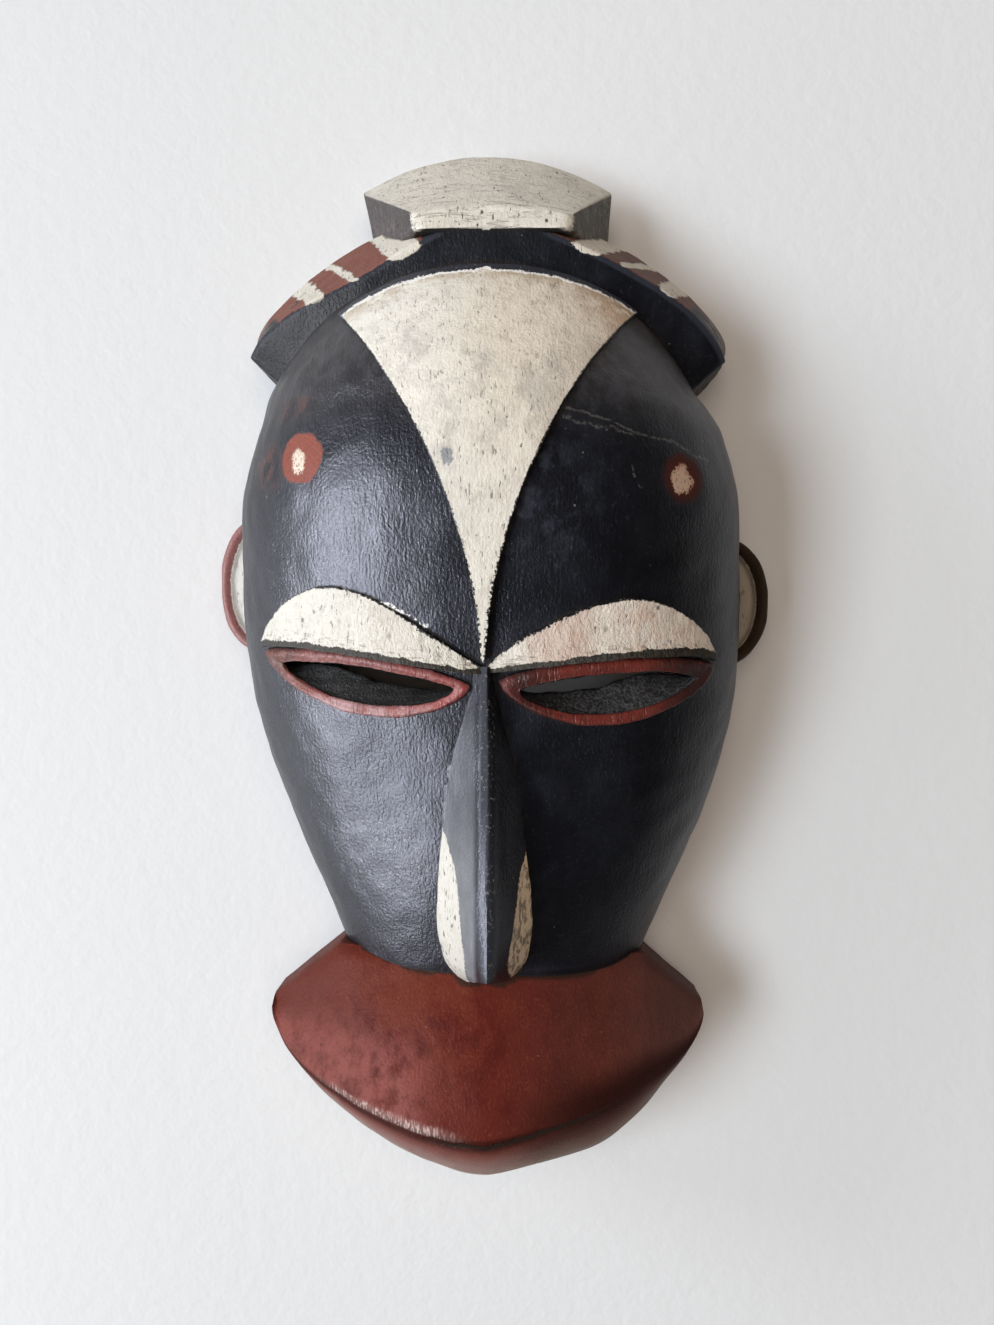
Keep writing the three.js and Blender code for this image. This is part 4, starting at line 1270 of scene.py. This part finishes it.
class MASK_OT_panel(bpy.types.Operator):
    """Carve the raised pale wedge on the forehead"""

    bl_idname = "mask.panel"
    bl_label = "Forehead panel"

    def execute(self, context):
        scene = context.scene
        sizes = scene.mask_panel
        u = np.linspace(0, 1, 125)[:, None]
        v = np.linspace(0, 1, 80)[None, :]
        grow = mix(0.02, 1, u)
        left = sizes.left_corner[0] * grow ** sizes.curve[0] - sizes.keel_half_width
        right = sizes.right_corner[0] * grow ** sizes.curve[1] + sizes.keel_half_width
        corner = np.where(v < 0.5, sizes.left_corner[1], sizes.right_corner[1])
        top = sizes.top_middle - (sizes.top_middle - corner) * np.abs(2 * v - 1) ** sizes.top_squareness
        lift = mix(sizes.keel_lift, sizes.lift, np.minimum(u * 3, 1)) + 0 * v
        x = mix(left, right, v)
        y = mix(sizes.foot, top, u)
        net = slab_on_head(Head(scene.mask_head), x, y, lift)
        share = net[..., 4]
        net[..., 4] = np.minimum(share, 1 - share) * (right - left)
        net[..., 3] = (1 - u) * (sizes.top_middle - sizes.foot)
        carve("panel", capped(net), panel_finish(scene.mask_paint))
        return {"FINISHED"}


class MASK_OT_brows(bpy.types.Operator):
    """Carve the two pale brows"""

    bl_idname = "mask.brows"
    bl_label = "Brows"

    def execute(self, context):
        scene = context.scene
        sizes = scene.mask_brows
        material = brow_finish(scene.mask_paint)
        u = mix(0.01, 0.995, np.linspace(0, 1, 96))
        v = np.linspace(0, 1, 24)[None, :]
        junction = np.array(sizes.junction)
        for side, outer in enumerate((sizes.left_outer, sizes.right_outer)):
            rim = eye_line(scene.mask_eyes, side, "rim", "up", u)
            pull = (1 - u) ** 4
            low_x = mix(rim[:, 0], junction[0], pull)
            low_y = mix(rim[:, 1] + sizes.gap, junction[1] - 1 * MM, pull)
            rise = sizes.peak[side] * bow(u ** sizes.swell[side], sizes.fullness[side])
            up_x = mix(junction[0], outer[0], u)
            up_y = mix(junction[1], outer[1], u) + rise
            x = mix(low_x[:, None], up_x[:, None], v)
            y = mix(low_y[:, None], up_y[:, None], v)
            width = np.hypot(up_x - low_x, up_y - low_y)[:, None]
            lift = sizes.edge + sizes.overhang * (1 - v) ** 1.3 * bow(u, 0.6)[:, None]
            net = slab_on_head(Head(scene.mask_head), x, y, lift)
            share = net[..., 4].copy()
            net[..., 4] = share * width
            net[..., 3] = (1 - share) * width
            net = uneven(net, (3, 7, 15), 0.16, 50 + side)
            carve(f"brow_{side}", capped(net), material)
        return {"FINISHED"}


class MASK_OT_rims(bpy.types.Operator):
    """Carve the raised rims round the eyes"""

    bl_idname = "mask.rims"
    bl_label = "Eye rims"

    def execute(self, context):
        scene = context.scene
        eyes = scene.mask_eyes
        head = Head(scene.mask_head)
        material = rim_finish(scene.mask_paint)
        sink = -3 * MM
        for side in (0, 1):
            outer = eye_loop(eyes, side, "rim", 68)
            inner = eye_loop(eyes, side, "slit", 68)

            def line(share, lift):
                x, y = mix(outer, inner, share).T
                return head.point(x, y, lift)

            lines = [line(0, sink)]
            lines += [line(share, up * eyes.rim_lift) for share, up in RIM_SECTION]
            lines.append(line(RIM_SECTION[-1][0], sink))
            net = with_lines(np.stack(lines, 1))
            net = rounded(net, [0, 0.5, 1.2, 1.5, 0.7, 0], [0.7] * 5 + [9], True)
            net = uneven(net, (2.5, 5, 9), 0.16, 40 + side)
            net = np.concatenate([net, net[:1]], 0)
            carve(f"rim_{side}", net, material)
        return {"FINISHED"}


class MASK_OT_nose(bpy.types.Operator):
    """Carve the long nose with its steep lower end"""

    bl_idname = "mask.nose"
    bl_label = "Nose"

    def execute(self, context):
        scene = context.scene
        sizes = scene.mask_nose
        head = Head(scene.mask_head)
        half_width = curve_through(NOSE_HALF_WIDTH)
        flank = curve_through([(a / MM, b / MM) for a, b in NOSE_FLANK])
        out = np.linspace(-1, 1, 45)
        up = flank(np.sqrt(out ** 2 + 0.04 ** 2) - 0.01)
        out = np.concatenate([[-1], out, [1]])
        up = np.concatenate([[-0.25], up, [-0.25]])
        t = np.sin(np.pi * np.linspace(0, 1, 100) / 2)[:, None]
        y = mix(sizes.top, sizes.tip, t)
        ridge = mix(sizes.ridge_top, sizes.ridge_tip, t)
        ground = head.level(sizes.middle, y)
        z = mix(ground - sizes.sink, ridge, up)
        x = sizes.middle + out * half_width(y) + sizes.aside * np.maximum(up, 0)
        lean = sizes.tip_lean * t ** 4
        net = with_lines(np.stack([x, y - lean * (ridge - z), z], -1))
        count = net.shape[1]
        net = capped(rounded(net, [0] * count, [WHOLE] * (count - 1) + [8], True), 1.2, 0.9)
        left = curve_through(LEFT_PATCH)(net[..., 1]) - net[..., 0]
        right = net[..., 0] - curve_through(RIGHT_PATCH)(net[..., 1])
        net[..., 4] = np.maximum(left, right)
        carve("nose", net, nose_finish(scene.mask_paint))
        return {"FINISHED"}


class MASK_OT_band(bpy.types.Operator):
    """Carve the band of hair over the forehead"""

    bl_idname = "mask.band"
    bl_label = "Hair band"

    def execute(self, context):
        scene = context.scene
        sizes = scene.mask_band
        t = np.linspace(0, 1, 153)
        degrees = mix(sizes.left_end, sizes.right_end, t)
        angle = np.radians(degrees)
        share = np.abs(2 * t - 1)
        right = t >= 0.5
        flat = np.where(right, sizes.flat[1], sizes.flat[0]) * np.sin(2 * np.pi * t) ** 2
        ridge_radius = sizes.ridge_radius - flat - np.where(right, sizes.right_draw * share ** 6, 0)
        outer_radius = mix(sizes.outer_radius, sizes.outer_end_radius, share ** 1.5)
        outer_radius = outer_radius + np.where(right, 0, sizes.left_spread)
        outer_radius = mix(outer_radius, ridge_radius, share ** 26)
        ridge = mix(sizes.ridge_top, sizes.ridge_end, share ** 2.6)
        outer = mix(sizes.outer_top, sizes.outer_end, share ** 1.5)
        inner_radius = sizes.crease_radius - sizes.inside

        def line(radius, level):
            x = radius * np.sin(angle)
            y = sizes.centre + radius * np.cos(angle)
            return np.stack([x, y, level + 0 * angle], -1)

        net = with_lines(np.stack([
            line(inner_radius, 0),
            line(inner_radius, ridge - 1.2 * sizes.inside),
            line(sizes.crease_radius, ridge - sizes.crease_drop),
            line(ridge_radius - sizes.ridge_width, ridge - sizes.ridge_drop),
            line(ridge_radius, ridge),
            line(outer_radius, outer),
            line(outer_radius - sizes.rim_inset, 0),
        ], 1))
        net[..., 3] = degrees[:, None]
        radii = [0, 0, 1, 2, 1.4, 1, 1]
        gaps = [20, 5, 1.2, 1.1, 1.1, 2, 8]
        net = capped(rounded(net, radii, gaps, True), 0.8, 3)
        carve("band", net, band_finish(scene.mask_paint))
        return {"FINISHED"}


class MASK_OT_crest(bpy.types.Operator):
    """Carve the crest on top of the band"""

    bl_idname = "mask.crest"
    bl_label = "Crest"

    def outline(self, heels, corners, arch, heel_level, corner_level):
        """Half of the lower edge, the arched upper edge from right to left, and the other half."""
        t = np.linspace(0, 1, 13)[:, None]
        low = np.concatenate([mix(np.array(heels[0]), np.array(heels[1]), t), heel_level + 0 * t], 1)
        s = np.linspace(0, 1, 76)[:, None]
        high = mix(np.array(corners[1]), np.array(corners[0]), s)
        high = high + np.concatenate([0 * s, arch * (1 - (2 * s - 1) ** 2)], 1)
        high = np.concatenate([high, corner_level + 0 * s], 1)
        return np.concatenate([low[6:], high, low[:6]], 0)

    def execute(self, context):
        scene = context.scene
        sizes = scene.mask_crest
        front = self.outline((sizes.foot_left, sizes.foot_right), (sizes.lip_left, sizes.lip_right),
                             sizes.lip_arch, sizes.foot_level, sizes.lip_level)
        wide = self.outline((sizes.heel_left, sizes.heel_right), (sizes.corner_left, sizes.corner_right),
                            sizes.top_arch, sizes.corner_level, sizes.corner_level)
        behind = np.stack([wide[:, 0] * 0.93, mix(wide[:, 1], 0.140, 0.12), sizes.back + 0 * wide[:, 2]], -1)
        middle_front = np.repeat(front.mean(0)[None], len(front), 0)
        middle_behind = np.repeat(behind.mean(0)[None], len(front), 0)
        rings = np.stack([middle_front, front, wide, behind, middle_behind], 0)
        lines = np.empty(len(front))
        lines[:7] = np.linspace(0, 1, 7)
        lines[7:83] = np.linspace(2, 3, 76)
        lines[83:] = np.linspace(4, 5, 6)
        net = np.concatenate([rings, np.zeros((5, len(front), 2))], -1)
        net[..., 3] = np.arange(5)[:, None]
        net[..., 4] = lines
        radii = [0] * len(front)
        for corner in (6, 7, 82, 83):
            radii[corner] = 2.2
        net = rounded(net, radii, [1.6] * len(front), True)
        net = rounded(net.swapaxes(0, 1), [0, 3.2, 1.2, 1, 0], [0.9, 1.2, 2, 6, WHOLE], False)
        carve("crest", net.swapaxes(0, 1), crest_finish(scene.mask_paint))
        return {"FINISHED"}


class MASK_OT_beard(bpy.types.Operator):
    """Carve the fan-shaped beard"""

    bl_idname = "mask.beard"
    bl_label = "Beard"

    def execute(self, context):
        scene = context.scene
        sizes = scene.mask_beard
        left, right = np.array(sizes.corner_left), np.array(sizes.corner_right)
        neck_left, neck_right = np.array(sizes.neck_left), np.array(sizes.neck_right)
        u = np.linspace(0, 1, 140)
        middle_x = (left[0] + right[0]) / 2
        half_span = (right[0] - left[0]) / 2
        x = middle_x - half_span * np.cos(np.pi * u)
        marks = (left, neck_left, neck_right, right)
        top = np.stack([x, np.interp(x, [m[0] for m in marks], [m[1] for m in marks])], -1)
        across = np.cos(np.pi * u)
        corner = mix(left[1], right[1], u) - sizes.corner_drop
        drop = (1 - np.abs(across) ** sizes.squareness) ** (1 / sizes.squareness)
        fuller = sizes.fuller * swell((x - sizes.fuller_place) / sizes.fuller_reach)
        outline = np.stack([x, corner + (sizes.bottom - corner) * drop - fuller], -1)
        middle = bow(u, 1.0)
        rise = 1 - np.abs(across) ** sizes.slope
        neck = mix(sizes.neck_edge, sizes.neck_level, rise)
        ridge = mix(sizes.ridge_edge, sizes.ridge_level, rise)
        edge = mix(sizes.outline_edge, sizes.outline_level, middle)
        draw = sizes.ridge_draw * swell((u - sizes.ridge_draw_place) / sizes.ridge_draw_reach)
        share = mix(sizes.ridge_share_edge, sizes.ridge_share, middle ** 1.7) - draw

        def line(v, level):
            place = mix(top, outline, np.broadcast_to(v, u.shape)[:, None])
            return np.concatenate([place, np.broadcast_to(level, u.shape)[:, None]], 1)

        net = with_lines(np.stack([
            line(0, sizes.back),
            line(0, neck - 3 * MM),
            line(0.05, neck),
            line(0.5 * share, mix(neck, ridge, 0.58)),
            line(share, ridge),
            line(mix(share, 1, 0.35), ridge - 0.14 * (ridge - edge)),
            line(mix(share, 1, 0.75), mix(edge, ridge, 0.5)),
            line(1, edge),
            line(0.97, mix(sizes.back, edge, 0.3)),
            line(0.85, sizes.back),
        ], 1))
        net[..., 3] = u[:, None]
        radii = [0, 0, 2, 12, 1.8, 3, 4, 2, 2, 1]
        gaps = [20, 2, 1.2, 1.2, 1, 1, 1.2, 1.6, 3, 9]
        net = capped(rounded(net, radii, gaps, True))
        carve("beard", net, beard_finish(scene.mask_paint))
        return {"FINISHED"}


class MASK_OT_ears(bpy.types.Operator):
    """Carve the two ears"""

    bl_idname = "mask.ears"
    bl_label = "Ears"

    def execute(self, context):
        scene = context.scene
        sizes = scene.mask_ears
        material = ear_finish(scene.mask_paint)
        angle = np.pi * np.linspace(0, 1, 70)
        for side, way in enumerate((-1, 1)):
            reach = sizes.reach[side] - sizes.root[side]

            def line(inset, level):
                out = np.clip(np.sin(angle), 0, 1) ** sizes.sharpness * (reach - inset)
                up = np.cos(angle) * (sizes.half_height[side] - inset)
                x = way * (sizes.root[side] + out)
                y = sizes.middle[side] + up + sizes.tilt[side] * out
                return np.stack([x, y, level + 0 * x], -1)

            net = with_lines(np.stack([
                line(1.2 * MM, sizes.back),
                line(0, mix(sizes.back, sizes.front, 0.4)),
                line(0.6 * MM, sizes.front - 1 * MM),
                line(0.5 * sizes.rim, sizes.front),
                line(sizes.rim, sizes.front - 1.6 * MM),
                line(sizes.rim + 0.8 * MM, sizes.floor),
                line(sizes.rim + 5.4 * MM, sizes.floor - 0.5 * MM),
                line(sizes.rim + 6 * MM, sizes.floor - 4 * MM),
                line(reach - 1 * MM, sizes.floor - 4 * MM),
                line(reach - 1 * MM, sizes.back),
            ], 1))
            net = rounded(net, [1, 2, 1, 1.2, 1, 0.8, 0.5, 0.5, 0, 0], [1.2] * 8 + [4] * 2, True)
            carve(f"ear_{side}", capped(net), material)
        return {"FINISHED"}


class MASK_OT_join(bpy.types.Operator):
    """Join all the carved parts into one block"""

    bl_idname = "mask.join"
    bl_label = "Join the parts"

    def execute(self, context):
        parts = ["panel", "nose", "band", "crest", "beard"]
        parts += [f"{kind}_{side}" for kind in ("ear", "brow", "rim") for side in (0, 1)]
        for name in parts:
            combine(bpy.data.objects["carved_mask"], bpy.data.objects[name], "UNION")
        return {"FINISHED"}


class MASK_OT_hollow(bpy.types.Operator):
    """Hollow out the back and cut the eye slits through"""

    bl_idname = "mask.hollow"
    bl_label = "Hollow and slits"

    def hollow(self, scene):
        sizes = scene.mask_head
        head = Head(sizes)
        place = -np.cos(np.pi * np.linspace(0, 1, 72)) * 0.995
        y = mix(sizes.hollow_foot, sizes.hollow_top, (place + 1) / 2)
        closing = (1 - np.abs(place) ** 5) ** 0.4
        width = (head.half_width(y) - sizes.wall) * closing
        crown = mix(sizes.widest_level, head.crown(y) - sizes.crown_wall, closing)
        net = head.sections(y, width, crown, -6 * MM, 64)
        net[..., 2] += wave(net, (11, 19), 5) * 0.35 * MM
        net = rounded(with_lines(net), [0] * 66, [WHOLE] * 63 + [4, 9, 4], True)
        return carve("hollow", capped(net), bare_wood(scene.mask_paint))

    def slit(self, scene, side, material):
        """The cut through the wall, with a sloping floor that leaves a gap near the inner corner."""
        eyes = scene.mask_eyes
        head = Head(scene.mask_head)
        count = 60
        from_inner = (1 - np.cos(np.pi * np.linspace(0, 1, count))) / 2
        gap = np.interp(from_inner, (0, 0.1, 0.45, 0.68, 1), (0.5, 0.5, 0.36, 0.1, 0.05))[:, None]
        rings = []
        for share, drop in ((1.0, -6), (1.0, 0.4), (gap, 9.5), (gap, 26)):
            x, y = eye_loop(eyes, side, "slit", count, share).T
            rings.append(np.stack([x, y, head.level(x, y) - drop * MM], -1))
        net = with_lines(np.stack(rings, 0)).swapaxes(0, 1)
        net = rounded(net, [0, 0.5, 0.8, 0], [2, 0.8, 2, WHOLE], False).swapaxes(0, 1)
        net = np.concatenate([net, net[:, :1]], 1)
        net[..., 1:3] += (wave(net[..., :3], (2, 4, 7), 9) * 0.22 * MM)[..., None]
        return carve(f"slit_{side}", capped(net, 0, 4), material)

    def execute(self, context):
        scene = context.scene
        block = bpy.data.objects["carved_mask"]
        combine(block, self.hollow(scene), "DIFFERENCE")
        material = slit_finish()
        for side in (0, 1):
            combine(block, self.slit(scene, side, material), "DIFFERENCE")
        return {"FINISHED"}


class MASK_OT_wear(bpy.types.Operator):
    """Give the carving its slight unevenness and mark its edges and creases"""

    bl_idname = "mask.wear"
    bl_label = "Wear"

    def execute(self, context):
        block = bpy.data.objects["carved_mask"]
        deselect_all()
        bpy.context.view_layer.objects.active = block
        block.select_set(True)
        mesh = block.data
        count = len(mesh.vertices)
        places = np.empty(count * 3)
        mesh.vertices.foreach_get("co", places)
        places = places.reshape(-1, 3)
        normals = np.empty(count * 3)
        mesh.vertex_normals.foreach_get("vector", normals)
        normals = normals.reshape(-1, 3)
        ends = np.empty(len(mesh.edges) * 2, int)
        mesh.edges.foreach_get("vertices", ends)
        ends = ends.reshape(-1, 2)
        wear = self.standing_out(places, normals, ends)
        mesh.attributes.new("wear", "FLOAT", "POINT").data.foreach_set("value", wear)
        places += normals * (wave(places, (9, 17, 31), 3) * 0.2 * MM)[:, None]
        low, high = (np.array(corner) for corner in CAD_BOX)
        margin = 0.02 * MM
        places = np.clip(places, low + margin, high - margin)
        mesh.vertices.foreach_set("co", places.ravel())
        mesh.update()
        bpy.ops.object.shade_smooth_by_angle(angle=math.radians(38))
        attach(block, "root")
        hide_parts("mask")
        return {"FINISHED"}

    def standing_out(self, places, normals, ends):
        """How far each point stands out of the surface round it, from -1 in a crease to 1 on an edge."""
        count = len(places)
        degree = np.bincount(ends.ravel(), minlength=count)
        smooth = places.copy()
        for _ in range(5):
            total = np.empty_like(smooth)
            for axis in range(3):
                total[:, axis] = np.bincount(ends[:, 0], smooth[ends[:, 1], axis], count)
                total[:, axis] += np.bincount(ends[:, 1], smooth[ends[:, 0], axis], count)
            smooth = total / degree[:, None]
        return np.clip(((places - smooth) * normals).sum(1) / (0.22 * MM), -1, 1)


class MASK_OT_stage(bpy.types.Operator):
    """Add the floor, the lights and the camera"""

    bl_idname = "mask.stage"
    bl_label = "Floor, lights and camera"

    def execute(self, context):
        scene = context.scene
        sizes = scene.mask_stage
        deselect_all()
        self.floor(sizes)
        self.lights(scene, sizes)
        self.camera(scene, sizes)
        return {"FINISHED"}

    def floor(self, sizes):
        bpy.ops.mesh.primitive_plane_add(size=2 * sizes.floor_reach)
        floor = bpy.context.object
        floor.name = "floor"
        f = Finish("pale_plaster")
        colour = f.blend(f.noise(90) * 0.3, sizes.floor_colour, Tones.floor_cloud)
        height = f.noise(6, detail=2, roughness=0.7) * 0.3
        floor.data.materials.append(f.paint_on(colour, 0.75, height, 0.3))

    def lights(self, scene, sizes):
        world = bpy.data.worlds.new("room")
        scene.world = world
        world.use_nodes = True
        world.cycles_visibility.glossy = False
        background = world.node_tree.nodes["Background"]
        background.inputs["Color"].default_value = (1.0, 0.92, 0.83, 1.0)
        background.inputs["Strength"].default_value = sizes.sky
        for name, place, size, colour, unseen in LIGHTS:
            light = self.light(name, place, size, getattr(sizes, f"{name}_power"), colour)
            setattr(light, f"visible_{unseen}", False)

    def light(self, name, place, size, power, colour):
        """A rectangular light that faces the mask."""
        bpy.ops.object.light_add(type="AREA", location=place)
        light = bpy.context.object
        light.name = name
        light.data.shape = "RECTANGLE"
        light.data.size, light.data.size_y = size
        light.data.energy = power
        light.data.color = colour
        way = Vector((0.0, 0.0, 0.04)) - light.location
        light.rotation_euler = way.to_track_quat("-Z", "Y").to_euler()
        return light

    def camera(self, scene, sizes):
        place = Vector((sizes.camera_x, sizes.camera_y, sizes.camera_level))
        aim = Vector((sizes.aim_x, sizes.camera_y, sizes.aim_level))
        bpy.ops.object.camera_add(location=place)
        camera = bpy.context.object
        camera.name = "camera"
        back = (place - aim).normalized()
        right = Vector((0, 1, 0)).cross(back).normalized()
        up = back.cross(right)
        turn = Matrix((right, up, back)).transposed()
        camera.rotation_euler = turn.to_euler()
        camera.data.lens = sizes.lens
        camera.data.sensor_width = 36.0
        camera.data.clip_start = 0.01
        scene.camera = camera
        scene.view_settings.view_transform = "Standard"


class MASK_PT_panel(bpy.types.Panel):
    """Lists the steps of the carving"""

    bl_idname = "MASK_PT_panel"
    bl_label = "Mask"
    bl_space_type = "VIEW_3D"
    bl_region_type = "UI"
    bl_category = "Mask"

    def draw(self, context):
        for step in STEPS:
            self.layout.operator(step.bl_idname)


STEPS = (MASK_OT_head, MASK_OT_panel, MASK_OT_brows, MASK_OT_rims, MASK_OT_nose, MASK_OT_band,
         MASK_OT_crest, MASK_OT_beard, MASK_OT_ears, MASK_OT_join, MASK_OT_hollow, MASK_OT_wear,
         MASK_OT_stage)
SIZES = {
    "mask_head": HeadSizes, "mask_panel": PanelSizes, "mask_eyes": EyeSizes, "mask_brows": BrowSizes,
    "mask_nose": NoseSizes, "mask_band": BandSizes, "mask_crest": CrestSizes, "mask_beard": BeardSizes,
    "mask_ears": EarSizes, "mask_paint": PaintColours, "mask_marks": MarkSizes, "mask_stage": StageSizes,
}


def register():
    for name, group in SIZES.items():
        bpy.utils.register_class(group)
        setattr(bpy.types.Scene, name, PointerProperty(type=group))
    for step in STEPS:
        bpy.utils.register_class(step)
    bpy.utils.register_class(MASK_PT_panel)


def unregister():
    bpy.utils.unregister_class(MASK_PT_panel)
    for step in reversed(STEPS):
        bpy.utils.unregister_class(step)
    for name, group in reversed(SIZES.items()):
        delattr(bpy.types.Scene, name)
        bpy.utils.unregister_class(group)


def main():
    register()
    for step in STEPS:
        group, name = step.bl_idname.split(".")
        getattr(getattr(bpy.ops, group), name)()


if __name__ == "__main__":
    main()
